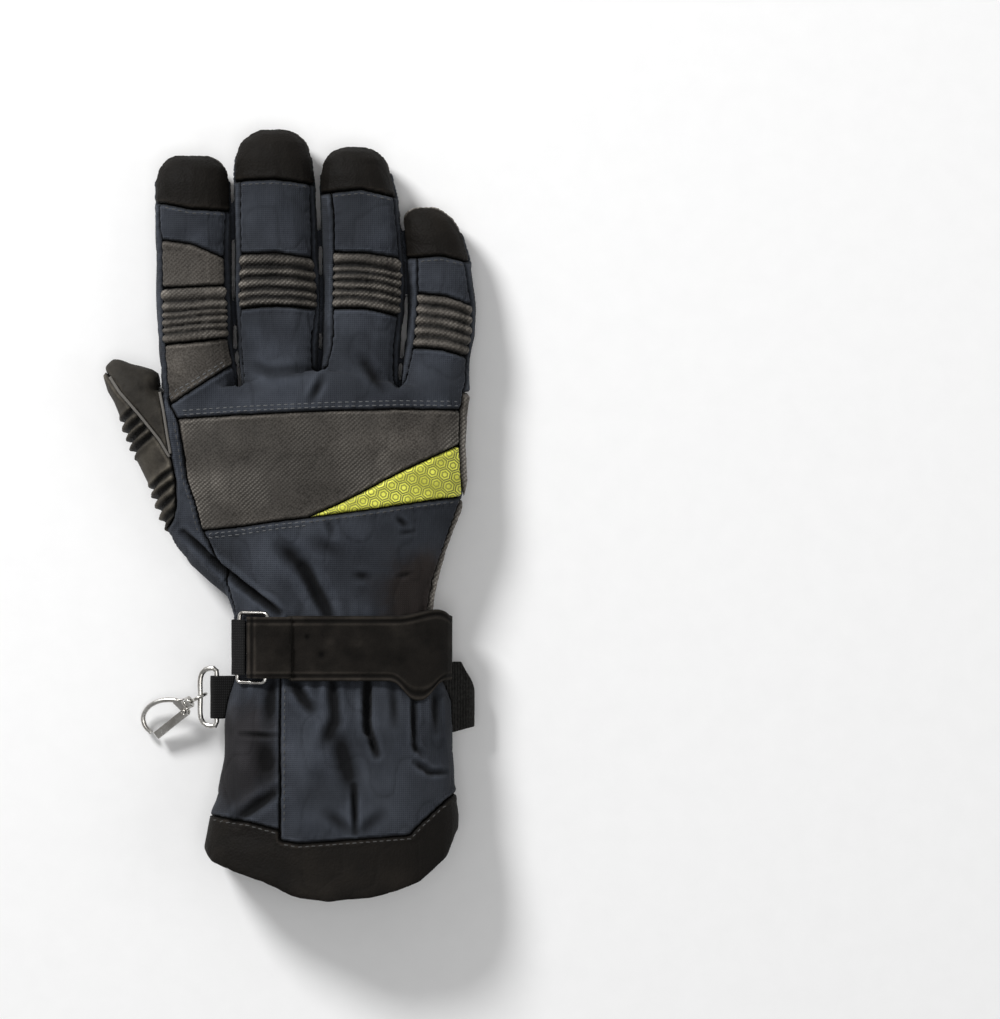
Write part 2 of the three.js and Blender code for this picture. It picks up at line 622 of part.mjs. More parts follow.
const looks = {
  navyCloth: { color: 0x3a3d46, roughness: 0.92, metalness: 0 },
  blackLeather: { color: 0x26221f, roughness: 0.6, metalness: 0 },
  twillLeather: { color: 0x57534e, roughness: 0.8, metalness: 0 },
  reflective: { color: 0xb4b83a, roughness: 0.45, metalness: 0 },
  suede: { color: 0x211f1d, roughness: 0.95, metalness: 0 },
  webbing: { color: 0x141412, roughness: 0.9, metalness: 0 },
  hookTape: { color: 0x4a4945, roughness: 0.95, metalness: 0 },
  nickel: { color: 0xb9b6ae, roughness: 0.28, metalness: 1 },
};

function addPiece(name, solid, look) {
  const mesh = new THREE.Mesh(geometryOf(solid), new THREE.MeshStandardMaterial(looks[look]));
  mesh.name = name;
  group.add(mesh);
}

// The largest body of a cut solid, without the slivers at the seams' ends
function largestBody(solid) {
  return solid.decompose().reduce((best, body) => (body.volume() > best.volume() ? body : best));
}

function mainBody(solid) {
  return largestBody(solid).simplify(simplest);
}

// Across the end of a finger or further out, where the front and the back are sewn together
function tipBox(name) {
  const tip = fingers[name][0];
  const inner = tip.y - tipLength;
  const outerY = tip.y + beyond - 1;
  const left = fingers[name][3].left - 1;
  const right = fingers[name][3].right + 1;
  return line([left, inner], [right, inner], [right, outerY], [left, outerY]);
}

// A back panel's cutter: above the side seam, which lies lower on the gauntlet and the caps
function topCutter(name, outline, distance, side) {
  const lowSeam = name.startsWith("gauntlet") || name.startsWith("tip_cap");
  const low = lowSeam ? cuffSeamHeight : backSeamHeight;
  return prism(inset(outline, distance), low + side * halfGap, skyHeight);
}

// A front's cutter: below the side seam, and at the named fingertips up to the middle of the end
function frontCutter(outline, names, distance, side) {
  const front = prism(inset(outline, distance), ground, frontSeamHeight - side * halfGap);
  const middle = prism(inset(outline, distance), ground, cuffSeamHeight - side * halfGap);
  const ends = names.map((name) => prism(inset(tipBox(name), distance), ground, skyHeight));
  return front.add(middle.intersect(joined(ends)));
}

function indexFrontCutter(distance, side) {
  return frontCutter(indexFrontOutline(), ["index"], distance, side);
}

// The palm's cutter: its front with three fingers, the outer edge and the wrist's side
function palmCutter(distance, side) {
  const front = frontCutter(palmOutline(), ["middle", "ring", "little"], distance, side);
  const wristSide = prism(inset(wristSideOutline, distance), ground, cuffSeamHeight - side * halfGap);
  const wrap = prism(inset(wrapOutline, distance), ground, skyHeight);
  return front.add(wristSide).add(wrap);
}

const topLooks = {
  tip_cap: "blackLeather",
  finger_back: "navyCloth",
  index_leather: "twillLeather",
  knuckle: "twillLeather",
  hand_back: "navyCloth",
  reflective: "reflective",
  gauntlet_back: "navyCloth",
  gauntlet_hem: "blackLeather",
};

function lookOf(name) {
  const start = Object.keys(topLooks).find((key) => name.startsWith(key));
  return topLooks[start];
}

for (const [name, outline] of Object.entries(piecesOnTop)) {
  addPiece(name, mainBody(shell.intersect(topCutter(name, outline, halfGap, 1))), lookOf(name));
}

addPiece("palm_panel", mainBody(shell.intersect(palmCutter(halfGap, 1))), "twillLeather");
addPiece("index_front", mainBody(shell.intersect(indexFrontCutter(halfGap, 1))), "twillLeather");
const gauntletPalmCut = prism(inset(gauntletPalmOutline, halfGap), ground, under);
addPiece("gauntlet_palm", mainBody(shell.intersect(gauntletPalmCut)), "suede");

const dorsalCut = prism(inset(thumbDorsalTop, halfGap), under, skyHeight).add(
  prism(inset(thumbDorsalUnder, halfGap), ground, under),
);
const palmarCut = prism(inset(thumbPalmarTop, halfGap), above, skyHeight).add(
  prism(inset(thumbPalmarUnder, halfGap), ground, above),
);
addPiece("thumb_dorsal", mainBody(shell.intersect(dorsalCut)), "twillLeather");
addPiece("thumb_palmar", mainBody(shell.intersect(palmarCut)), "blackLeather");

// What the other pieces leave of the shell: the strips between the fronts and the backs
const pastMouth = line([70, -240], [-64.5, -240]);
const taken = [
  ...Object.entries(piecesOnTop).map(([name, outline]) => topCutter(name, outline, -halfGap, -1)),
  palmCutter(-halfGap, -1),
  indexFrontCutter(-halfGap, -1),
  prism(inset(gauntletPalmOutline, -halfGap), ground, above),
  prism(inset(thumbDorsalTop, -halfGap), under, skyHeight),
  prism(inset(thumbDorsalUnder, -halfGap), ground, above),
  prism(inset(thumbPalmarTop, -halfGap), under, skyHeight),
  prism(inset(thumbPalmarUnder, -halfGap), ground, above),
  prism([...hemBottom, ...pastMouth], under, skyHeight),
  prism([...palmHem, ...pastMouth], ground, above),
];
const rest = shell.subtract(joined(taken));
const stripNames = [
  "thumb_side_panel",
  "fourchette_index_middle",
  "fourchette_middle_ring",
  "fourchette_ring_little",
  "little_side",
];
const strips = rest
  .decompose()
  .sort((one, other) => other.volume() - one.volume())
  .slice(0, stripNames.length)
  .sort((one, other) => one.boundingBox().min[0] - other.boundingBox().min[0]);
strips.forEach((strip, index) => addPiece(stripNames[index], strip.simplify(simplest), "navyCloth"));

// A layer that follows the wrist, between two distances out from its surface
function wristLayer(from, to, outline, low) {
  return loft(bodyRings(-to)).subtract(loft(bodyRings(-from))).intersect(prism(outline, low, skyHeight));
}

function box(left, right, back, front) {
  return line([left, back], [right, back], [right, front], [left, front]);
}

// Closure strap: from the outer side seam over the wrist, round the ring's inner bar and back
const strap = {
  back: -90.5,
  front: -62.5,
  foldBack: -89.3,
  foldFront: -63,
  foldX: -31.2,
  stitchX: -12,
  end: 75,
  thick: 1.6,
  seat: 0.4,
  ringGap: 3,
  lowEdge: 13.3,
  upperLowEdge: 17,
};

function wristStrap() {
  const { back, front, foldBack, foldFront, foldX, stitchX, end, thick, seat, ringGap } = strap;
  const bottom = seat + thick;
  const top = bottom + ringGap + thick;
  const lap = bottom + seamGap;
  const wide = box(stitchX - 1, end, back, front);
  const fold = wristLayer(seat, top, box(foldX, stitchX, foldBack, foldFront), strap.lowEdge);
  const roomOutline = box(foldX + thick, stitchX - 2, back - 1, front + 1);
  const room = wristLayer(bottom, top - thick, roomOutline, 0);
  const lower = wristLayer(seat, bottom, wide, strap.lowEdge);
  const upper = wristLayer(lap, lap + thick, wide, strap.upperLowEdge);
  return fold.subtract(room).add(lower).add(upper);
}

// Webbing loop sewn to the thumb side of the wrist, round the ring's outer bar
const loop = {
  left: -37.8,
  right: -31.9,
  back: -87.9,
  front: -64.2,
  thick: 1.3,
  seat: 0.4,
  outerLayer: 6.4,
  lowEdge: 16.3,
};

function strapLoop() {
  const { left, right, back, front, thick, seat, outerLayer, lowEdge } = loop;
  const whole = wristLayer(seat, outerLayer, box(left, right, back, front), lowEdge);
  const roomOutline = box(left + thick, right - thick, back - 1, front + 1);
  return whole.subtract(wristLayer(seat + thick, outerLayer - thick, roomOutline, 0));
}

addPiece("wrist_strap", mainBody(wristStrap()), "suede");
addPiece("strap_loop", largestBody(strapLoop()), "webbing");

// A closed loop of wire along a flat curve, given in the curve's own X and Y
const wireSides = 8;

function wireLoop(points, radius) {
  const positions = [];
  const faces = [];
  const count = points.length;
  points.forEach((point, index) => {
    const before = points[(index + count - 1) % count];
    const after = points[(index + 1) % count];
    const along = after.clone().sub(before).normalize();
    for (let side = 0; side < wireSides; side += 1) {
      const angle = (2 * Math.PI * side) / wireSides;
      const out = Math.cos(angle) * radius;
      positions.push(point.x + along.y * out, point.y - along.x * out, Math.sin(angle) * radius);
      const here = index * wireSides + side;
      const beside = index * wireSides + ((side + 1) % wireSides);
      const next = (here + wireSides) % (count * wireSides);
      const nextBeside = (beside + wireSides) % (count * wireSides);
      faces.push(here, beside, next, beside, nextBeside, next);
    }
  });
  const geometry = new THREE.BufferGeometry();
  geometry.setAttribute("position", new THREE.Float32BufferAttribute(positions, 3));
  geometry.setIndex(faces);
  return solidOf(geometry);
}

// A rectangle's outline with round corners, a quarter turn after another
function roundedRectangle(width, height, radius) {
  const corners = [[1, 1], [-1, 1], [-1, -1], [1, -1]];
  const quarter = Math.PI / 2;
  const steps = 3;
  return corners.flatMap(([sideX, sideY], corner) => {
    const centre = new THREE.Vector2(sideX * (width / 2 - radius), sideY * (height / 2 - radius));
    return Array.from({ length: steps + 1 }, (_, step) => {
      const angle = quarter * (corner + step / steps);
      return new THREE.Vector2(Math.cos(angle), Math.sin(angle)).multiplyScalar(radius).add(centre);
    });
  });
}

function placed(solid, x, y, z, rotation) {
  const matrix = new THREE.Matrix4().makeRotationFromEuler(rotation).setPosition(x, y, z);
  return solid.transform(matrix.elements);
}

// Rectangular ring between the webbing loop and the strap
const strapRing = { width: 13.4, height: 29.8, corner: 1.6, wire: 0.9 };
const strapRingPlace = { x: -28.7, y: -76.2, z: 30.0, tilt: -0.458, turn: -0.02, pitch: -0.04 };

function strapRingSolid() {
  const outline = roundedRectangle(strapRing.width, strapRing.height, strapRing.corner);
  const { x, y, z, tilt, turn, pitch } = strapRingPlace;
  return placed(wireLoop(outline, strapRing.wire), x, y, z, new THREE.Euler(pitch, tilt, turn, "YXZ"));
}

addPiece("strap_ring", strapRingSolid(), "nickel");

// Tab of webbing sewn into the thumb-side seam, folded round the D-ring's bar
const tab = { back: -107.0, front: -88.6, barX: -44.6, barZ: 16, bore: 1.7, thick: 1.1, rootX: -34, room: 3 };

function alongY(shape, back, front) {
  const extrusion = { depth: front - back, bevelEnabled: false, curveSegments: 8 };
  const geometry = new THREE.ExtrudeGeometry(shape, extrusion);
  geometry.rotateX(Math.PI / 2);
  geometry.translate(0, front, 0);
  return solidOf(geometry);
}

function hookTab() {
  const outerRadius = tab.bore + tab.thick;
  const shape = new THREE.Shape();
  shape.moveTo(tab.rootX, tab.barZ - outerRadius);
  shape.lineTo(tab.rootX, tab.barZ + outerRadius);
  shape.absarc(tab.barX, tab.barZ, outerRadius, Math.PI / 2, Math.PI * 1.5, false);
  const room = new THREE.Path();
  room.moveTo(tab.barX + tab.room, tab.barZ - tab.bore);
  room.lineTo(tab.barX + tab.room, tab.barZ + tab.bore);
  room.absarc(tab.barX, tab.barZ, tab.bore, Math.PI / 2, Math.PI * 1.5, false);
  shape.holes.push(room);
  return alongY(shape, tab.back, tab.front).subtract(loft(bodyRings(-seamGap)));
}

addPiece("hook_tab", largestBody(hookTab()), "webbing");

// D-ring: its straight bar lies in the tab's fold, its bow droops outwards
const dRing = { height: 25, depth: 7.6, wire: 1.2, corner: 2, bow: 1.2, steps: 30, y: -97.8, droop: 0.36 };

// The upper half of the D's outline is drawn from the bar to the bow, and mirrored for the lower
function dRingPoints() {
  const { height, depth, corner, bow, steps } = dRing;
  const half = height / 2;
  const at = (x, y) => new THREE.Vector2(x, y);
  const curve = new THREE.CurvePath();
  curve.add(new THREE.LineCurve(at(0, -half + corner), at(0, half - corner)));
  curve.add(new THREE.QuadraticBezierCurve(at(0, half - corner), at(0, half), at(-corner, half)));
  curve.add(new THREE.CubicBezierCurve(
    at(-corner, half), at(-depth * bow, half), at(-depth, half / 2), at(-depth, 0),
  ));
  curve.add(new THREE.CubicBezierCurve(
    at(-depth, 0), at(-depth, -half / 2), at(-depth * bow, -half), at(-corner, -half),
  ));
  curve.add(new THREE.QuadraticBezierCurve(at(-corner, -half), at(0, -half), at(0, -half + corner)));
  return curve.getSpacedPoints(steps).slice(0, -1);
}

const dTurn = new THREE.Euler(0, -dRing.droop, 0);
addPiece("d_ring", placed(wireLoop(dRingPoints(), dRing.wire), tab.barX, dRing.y, tab.barZ, dTurn), "nickel");

// Snap hook, in its own frame: X along the swivel's axis, Y towards the gate
const eye = { radius: 3.1, wire: 0.8, stemRadius: 0.8, headRadius: 1.6, headStart: 6.6, headEnd: 7.4 };
const collar = { start: 4.3, end: 6.2, radius: 2.6, bore: 1.1 };
const arm = { start: 5.8, end: 8.3, inner: 1.95 };
const plateThickness = 1.6;
const headOutline = line(
  [7.9, -2.6], [11.2, -4.2], [12, -2.6], [10.3, 1.9], [10, 3.4], [9, 3.9], [8, 3.5], [7.9, 2.6],
);
const rivet = { x: 9, y: 2.6, radius: 0.75, bore: 1.05, proud: 0.3 };
const hookWire = { radius: 1.1, steps: 20, curveSegments: 4 };
const hookRoute = line(
  [10, -3], [13.5, -5], [18, -6.4], [23.5, -6.1], [27.6, -3.4], [28.7, 0.6], [27.5, 4.4],
);
const gate = { length: 17.1, low: -1.2, backFrom: 1.7, backTo: 2.3, half: 1.6, cheek: 0.55, angle: 0.192 };
const gateHeel = { x: -1.5, y: -0.9, frontX: -0.8, backX: -1.6, backY: 1.2, spineX: -0.4 };
const hookPlace = { x: -52.1, y: dRing.y, z: 13.1, heading: 3.6127, dip: 0.332 };

const hookMatrix = new THREE.Matrix4()
  .makeRotationZ(hookPlace.heading)
  .multiply(new THREE.Matrix4().makeRotationY(hookPlace.dip))
  .setPosition(hookPlace.x, hookPlace.y, hookPlace.z);

function plate(shape, low, high) {
  const extrusion = { depth: high - low, bevelEnabled: false, curveSegments: 6 };
  const geometry = new THREE.ExtrudeGeometry(shape, extrusion);
  geometry.translate(0, 0, low);
  return solidOf(geometry);
}

// A round bar along the hook's X axis, and one along its Z axis
const axleSides = 16;

function axleX(radius, from, to) {
  const geometry = new THREE.CylinderGeometry(radius, radius, to - from, axleSides);
  geometry.rotateZ(Math.PI / 2);
  geometry.translate((from + to) / 2, 0, 0);
  return solidOf(geometry);
}

function axleZ(radius, x, y, low, high) {
  const geometry = new THREE.CylinderGeometry(radius, radius, high - low, axleSides);
  geometry.rotateX(Math.PI / 2);
  geometry.translate(x, y, (low + high) / 2);
  return solidOf(geometry);
}

function swivelEye() {
  const torus = new THREE.TorusGeometry(eye.radius, eye.wire, 8, 20);
  torus.rotateX(Math.PI / 2);
  const stem = axleX(eye.stemRadius, eye.radius, eye.headStart + 0.2);
  return solidOf(torus).add(stem).add(axleX(eye.headRadius, eye.headStart, eye.headEnd));
}

function hookBody() {
  const bore = axleX(collar.bore, collar.start - 1, collar.end + 1);
  const swivel = axleX(collar.radius, collar.start, collar.end).subtract(bore);
  const halfPlate = plateThickness / 2;
  const arms = [1, -1].map((side) => {
    const inner = arm.inner * side;
    const edge = collar.radius * side;
    const outline = line([arm.start, inner], [arm.end, inner], [arm.end, edge], [arm.start, edge]);
    return plate(new THREE.Shape(outline), -halfPlate, halfPlate);
  });
  const head = plate(new THREE.Shape(headOutline), -halfPlate, halfPlate);
  const pinEnd = gate.half + rivet.proud;
  const pin = axleZ(rivet.radius, rivet.x, rivet.y, -pinEnd, pinEnd);
  const route = new THREE.CatmullRomCurve3(hookRoute.map((point) => new THREE.Vector3(point.x, point.y, 0)));
  const circle = new THREE.Shape();
  circle.absarc(0, 0, hookWire.radius, 0, Math.PI * 2, false);
  const { steps, curveSegments } = hookWire;
  const wire = new THREE.ExtrudeGeometry(circle, { steps, curveSegments, extrudePath: route });
  return joined([swivel, ...arms, head, pin, solidOf(wire)]);
}

// Spring gate: two cheeks with the rivet through them, and the back that joins them
function hookGate() {
  const { length, low, backFrom, backTo, half, cheek, angle } = gate;
  const { x, y, frontX, backX, backY, spineX } = gateHeel;
  const cheekLine = line(
    [x, y], [frontX, low], [length, low], [length, backTo], [spineX, backTo], [backX, backY],
  );
  const outline = new THREE.Shape(cheekLine);
  const hole = new THREE.Path();
  hole.absarc(0, 0, rivet.bore, 0, Math.PI * 2, true);
  outline.holes.push(hole);
  const cheeks = [plate(outline, half - cheek, half), plate(outline, -half, -half + cheek)];
  const spine = plate(new THREE.Shape(box(spineX, length, backFrom, backTo)), -half, half);
  return placed(joined([...cheeks, spine]), rivet.x, rivet.y, 0, new THREE.Euler(0, 0, angle));
}

addPiece("swivel_eye", swivelEye().transform(hookMatrix.elements), "nickel");
addPiece("hook_body", hookBody().transform(hookMatrix.elements), "nickel");
addPiece("hook_gate", hookGate().transform(hookMatrix.elements), "nickel");

// Pull tab on the outer edge of the gauntlet, sewn on below the side seam
const pullTab = {
  back: -114.5,
  front: -82.5,
  inner: 50,
  edge: 66.4,
  low: 3,
  high: 12.7,
  flapLow: 10.6,
  thick: 1.6,
  seat: 0.4,
};

function pullTabSolid() {
  const { back, front, inner, edge, low, high, flapLow, thick, seat } = pullTab;
  const hugging = wristLayer(seat, seat + thick, box(inner, edge, back, front), low);
  const below = prism(box(inner, edge + 1, back - 1, front + 1), ground, high);
  const flap = prism(box(inner, edge, back, front), flapLow, flapLow + thick);
  return hugging.intersect(below).add(flap.subtract(loft(bodyRings(-seat))));
}

addPiece("pull_tab", mainBody(pullTabSolid()), "hookTape");

export default group;
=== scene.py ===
import math

import bmesh
import bpy
import numpy as np
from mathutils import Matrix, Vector
from mathutils.bvhtree import BVHTree
from mathutils.kdtree import KDTree


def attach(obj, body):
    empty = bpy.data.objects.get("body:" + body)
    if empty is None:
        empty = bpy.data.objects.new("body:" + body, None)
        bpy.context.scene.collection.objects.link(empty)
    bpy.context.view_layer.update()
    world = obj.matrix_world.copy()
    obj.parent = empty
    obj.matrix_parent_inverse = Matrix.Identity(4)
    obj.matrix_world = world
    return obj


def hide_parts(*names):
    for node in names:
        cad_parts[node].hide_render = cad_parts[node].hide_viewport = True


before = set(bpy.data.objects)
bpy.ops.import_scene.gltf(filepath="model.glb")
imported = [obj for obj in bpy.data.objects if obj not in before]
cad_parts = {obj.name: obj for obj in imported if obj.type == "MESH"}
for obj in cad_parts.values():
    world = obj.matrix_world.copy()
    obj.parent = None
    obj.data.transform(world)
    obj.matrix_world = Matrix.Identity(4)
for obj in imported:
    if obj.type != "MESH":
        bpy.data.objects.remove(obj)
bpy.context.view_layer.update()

MM = 0.001

# The painted shade and highlight kept on each vertex: 0 is painted highlight on what stands proud,
# NEUTRAL is plain, and 1 is painted shade deep in a groove
SHADE_AND_HIGHLIGHT_ATTRIBUTE = "groove"
NEUTRAL = 0.35

# Which sewn pieces of the shell take which finish
SHELL = {
    "navy_cloth": [
        "finger_back_index", "finger_back_middle", "finger_back_ring", "finger_back_little",
        "hand_back_upper", "hand_back_lower", "gauntlet_back_thumb_side", "gauntlet_back",
        "thumb_side_panel", "fourchette_index_middle", "fourchette_middle_ring",
        "fourchette_ring_little", "little_side",
    ],
    "black_leather": [
        "tip_cap_index", "tip_cap_middle", "tip_cap_ring", "tip_cap_little",
        "gauntlet_hem",
    ],
    "twill_leather": [
        "knuckle_ribs_index", "knuckle_ribs_middle",
        "knuckle_ribs_ring", "knuckle_ribs_little", "knuckle_band",
    ],
    "index_leather": ["index_leather_upper", "index_leather_lower"],
    "palm_leather": ["palm_panel", "index_front"],
    "thumb_leather": ["thumb_dorsal"],
    "speckled_leather": ["thumb_palmar"],
    "reflective_cloth": ["reflective_wedge"],
    "black_suede": ["gauntlet_palm"],
}

# Finishes that are passed on as another finish when their pieces are dressed
SLOTS = {
    "index_leather": "twill_leather",
    "palm_leather": "twill_leather",
    "thumb_leather": "twill_leather",
    "speckled_leather": "black_leather",
}

# Sizes of the even facets that each kind of piece is rebuilt from
WHOLE_VOXEL = 1.6
PANEL_VOXEL = 0.75
PALM_VOXEL = 1.1
STRAP_VOXEL = 0.6
TAPE_VOXEL = 0.45
METAL_VOXEL = 0.22
GATE_VOXEL = 0.16
PALM_SIDE = ("palm_panel", "index_front", "gauntlet_palm")

# Smoothing: how far a point moves to the middle of its neighbours and back out, and the rounds
SHRINK = 0.5
SWELL = -0.52
WHOLE_ROUNDS = 26
BLEND_ROUNDS = 3
EDGE_ROUNDS = 2
STRAP_ROUNDS = 5
TAPE_ROUNDS = 4
METAL_ROUNDS = 6

# Middle lines inside the hollow, to tell a wall's outside from its inside: each runs from a
# start to an end and is a flat bar that wide to either side
BONES = [
    {"start": (4, -190, 22), "end": (6, -100, 18), "half": 34},
    {"start": (6, -100, 17), "end": (2, 22, 18), "half": 32},
    {"start": (-52, 20, 15), "end": (-55, 120, 13), "half": 3},
    {"start": (-18, 20, 15), "end": (-20, 131, 13), "half": 4},
    {"start": (18, 20, 15), "end": (16, 123, 13), "half": 3},
    {"start": (50, 20, 14), "end": (48, 98, 12), "half": 2},
    {"start": (-38, -22, 13), "end": (-80, 34, 13), "half": 3},
]

# Knuckle ribs: the panel's left and right edge, y of its upper and lower seam at the left, the
# middle and the right, how narrow the painted highlights on its ridges are, and how far down the
# panel its stitched grooves lie, as shares
RIB_PANELS = {
    "knuckle_ribs_index": {
        "left": -67.6, "right": -40.0, "upper": (78.3, 78.7, 79.5), "lower": (53.8, 55.0, 56.8),
        "narrow": 1.0, "grooves": (0.25, 0.43, 0.55, 0.69, 0.81),
    },
    "knuckle_ribs_middle": {
        "left": -34.2, "right": -2.5, "upper": (92.9, 93.3, 91.2), "lower": (69.2, 70.5, 69.2),
        "narrow": 3.4, "grooves": (0.26, 0.45, 0.67, 0.84),
    },
    "knuckle_ribs_ring": {
        "left": 6.0, "right": 34.6, "upper": (93.7, 93.3, 91.2), "lower": (69.2, 69.2, 66.2),
        "narrow": 2.9, "grooves": (0.24, 0.37, 0.51, 0.67, 0.81),
    },
    "knuckle_ribs_little": {
        "left": 41.6, "right": 65.3, "upper": (76.1, 74.8, 71.0), "lower": (52.5, 51.6, 48.6),
        "narrow": 2.0, "grooves": (0.21, 0.4, 0.6, 0.8),
    },
}
RIB_RISE = 1.5
BEAD_PITCH = 2.3

# The thumb's stitched grooves: how far along the thumb's own direction each lies
THUMB_DIRECTION = (-0.55, 0.83)
THUMB_GROOVES = (65.0, 60.3, 56.1, 51.8, 34.2, 29.8, 24.9, 19.8)
THUMB_TOP = 23
THUMB_SWEEP = 0.18

# Where the thumb's end is plump: a place in plan, a reach and a rise each
THUMB_SWELLS = [
    {"place": (-70.5, 38.5), "reach": 5.5, "rise": 2.4},
    {"place": (-88.0, 47.5), "reach": 5.0, "rise": 1.6},
]

# Folds and pleats of the back: a start, an end, a depth and a half-width each
FOLDS = [
    {"start": (-58.5, -27.0), "end": (-40.0, -44.4), "depth": 3.4, "width": 1.3},
    {"start": (-46.0, -39.4), "end": (-17.5, -61.5), "depth": 4.8, "width": 1.5},
    {"start": (-16.5, -32.5), "end": (-3.8, -45.5), "depth": 1.9, "width": 3.0},
    {"start": (-6.5, -42.5), "end": (4.4, -63.0), "depth": 4.2, "width": 2.4},
    {"start": (-1.0, -31.0), "end": (9.0, -36.0), "depth": 1.0, "width": 2.6},
    {"start": (15.5, -45.4), "end": (21.2, -46.2), "depth": 1.1, "width": 1.6},
    {"start": (34.0, -46.0), "end": (39.5, -44.6), "depth": 0.7, "width": 1.0},
    {"start": (34.0, -21.0), "end": (37.6, -24.4), "depth": 1.6, "width": 1.1},
    {"start": (35.5, -27.2), "end": (40.5, -26.6), "depth": 0.9, "width": 1.0},
    {"start": (4.0, -22.0), "end": (5.5, -28.0), "depth": 1.0, "width": 1.4},
    {"start": (-12.0, -90.5), "end": (-3.4, -102.0), "depth": 3.2, "width": 1.9},
    {"start": (5.7, -90.0), "end": (7.2, -107.5), "depth": 2.9, "width": 2.1},
    {"start": (7.2, -105.5), "end": (2.0, -118.0), "depth": 1.7, "width": 2.4},
    {"start": (20.4, -89.0), "end": (20.7, -112.0), "depth": 5.2, "width": 1.5},
    {"start": (20.6, -108.5), "end": (24.9, -121.8), "depth": 3.6, "width": 1.3},
    {"start": (40.6, -94.0), "end": (41.3, -119.5), "depth": 2.3, "width": 1.2},
    {"start": (41.0, -117.5), "end": (44.5, -122.4), "depth": 1.3, "width": 1.1},
    {"start": (41.0, -125.0), "end": (48.2, -129.9), "depth": 1.7, "width": 1.2},
    {"start": (47.0, -129.7), "end": (54.5, -129.7), "depth": 1.4, "width": 1.1},
    {"start": (-21.1, -91.0), "end": (-21.3, -108.0), "depth": 2.2, "width": 2.6},
    {"start": (6.5, -110.0), "end": (15.2, -138.0), "depth": 1.9, "width": 3.4},
    {"start": (15.2, -135.0), "end": (15.8, -155.0), "depth": 2.6, "width": 1.2},
    {"start": (3.5, -146.5), "end": (14.8, -155.0), "depth": 1.1, "width": 1.9},
    {"start": (27.0, -147.0), "end": (17.5, -155.0), "depth": 1.0, "width": 2.1},
    {"start": (-36.0, -149.5), "end": (-17.5, -137.0), "depth": 2.4, "width": 2.0},
    {"start": (-23.5, -116.0), "end": (-22.5, -130.0), "depth": 2.2, "width": 4.6},
    {"start": (-33.5, -113.2), "end": (-17.5, -113.8), "depth": 1.4, "width": 1.0},
    {"start": (-45.5, -97.0), "end": (-38.5, -112.0), "depth": 0.9, "width": 2.0},
    {"start": (32.0, -91.0), "end": (32.6, -109.0), "depth": 1.3, "width": 1.7},
    {"start": (50.0, -93.0), "end": (50.4, -112.0), "depth": 1.5, "width": 1.7},
    {"start": (1.4, 39.4), "end": (-3.4, 29.8), "depth": 1.7, "width": 1.5},
    {"start": (-29.0, 44.5), "end": (-19.5, 41.2), "depth": 0.9, "width": 2.2},
    {"start": (-20.5, 41.3), "end": (-4.0, 42.8), "depth": 0.9, "width": 2.2},
    {"start": (18.0, 47.8), "end": (27.5, 34.8), "depth": 1.4, "width": 2.1},
]
FOLD_REACH = 2.0

# The gauntlet's mouth, the elastic under the strap, and the seams between panels
MOUTH_MIDDLE = 4.0
GATHER_PITCH = 6.4
GATHER_LEVEL = -80
GATHER_REACH = 17
SEAM_DIP = 0.8
SEAM_ROLL = 0.26
PUCKER_PITCH = 4.6


# Large numbers that mix a noise cell's place into one value
CELL_PRIMES = (73856093, 19349663, 83492791)
CELL_MIX = 1274126177
SEED_STEP = 17.31


def value_noise(points, scale, seed):
    """Smooth noise from -1 to 1 at points in millimetres."""
    cells = points / scale + seed * SEED_STEP
    low = np.floor(cells).astype(np.int64)
    share = cells - low
    share = share * share * (3 - 2 * share)
    total = np.zeros(len(points))
    for corner in range(8):
        step = np.array([corner & 1, (corner >> 1) & 1, (corner >> 2) & 1])
        at = (low + step).astype(np.uint64)
        key = at[:, 0] * np.uint64(CELL_PRIMES[0])
        key = key ^ (at[:, 1] * np.uint64(CELL_PRIMES[1]))
        key = key ^ (at[:, 2] * np.uint64(CELL_PRIMES[2]))
        key = (key ^ (key >> np.uint64(13))) * np.uint64(CELL_MIX)
        value = ((key >> np.uint64(16)) & np.uint64(65535)).astype(float) / 32767.5 - 1
        weight = np.prod(np.where(step == 1, share, 1 - share), axis=1)
        total += value * weight
    return total


def smooth_step(values, start, end):
    share = np.clip((values - start) / (end - start), 0, 1)
    return share * share * (3 - 2 * share)


def read_mesh(mesh):
    """Vertex positions in millimetres."""
    points = np.empty(len(mesh.vertices) * 3)
    mesh.vertices.foreach_get("co", points)
    return points.reshape(-1, 3) / MM


def write_points(mesh, points):
    mesh.vertices.foreach_set("co", (points * MM).ravel())
    mesh.update()


def normals_of(mesh):
    normals = np.empty(len(mesh.vertices) * 3)
    mesh.vertices.foreach_get("normal", normals)
    return normals.reshape(-1, 3)


def edges_of(mesh):
    edges = np.empty(len(mesh.edges) * 2, dtype=np.int64)
    mesh.edges.foreach_get("vertices", edges)
    return edges.reshape(-1, 2)


def smoothed(points, edges, rounds, inward, outward):
    """Taubin smoothing: a shrinking and a swelling step each round."""
    count = np.bincount(edges.ravel(), minlength=len(points))[:, None]
    count = np.maximum(count, 1)
    points = points.copy()
    for _ in range(rounds):
        for factor in (inward, outward):
            if factor == 0:
                continue
            total = np.zeros_like(points)
            for axis in range(3):
                total[:, axis] = np.bincount(edges[:, 0], points[edges[:, 1], axis], len(points))
                total[:, axis] += np.bincount(edges[:, 1], points[edges[:, 0], axis], len(points))
            points += factor * (total / count - points)
    return points


def merged_copy(nodes, name):
    """One mesh from CAD nodes, with their doubled corner points joined."""
    build = bmesh.new()
    for node in nodes:
        build.from_mesh(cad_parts[node].data)
    bmesh.ops.remove_doubles(build, verts=build.verts, dist=0.01 * MM)
    mesh = bpy.data.meshes.new(name)
    build.to_mesh(mesh)
    build.free()
    return mesh


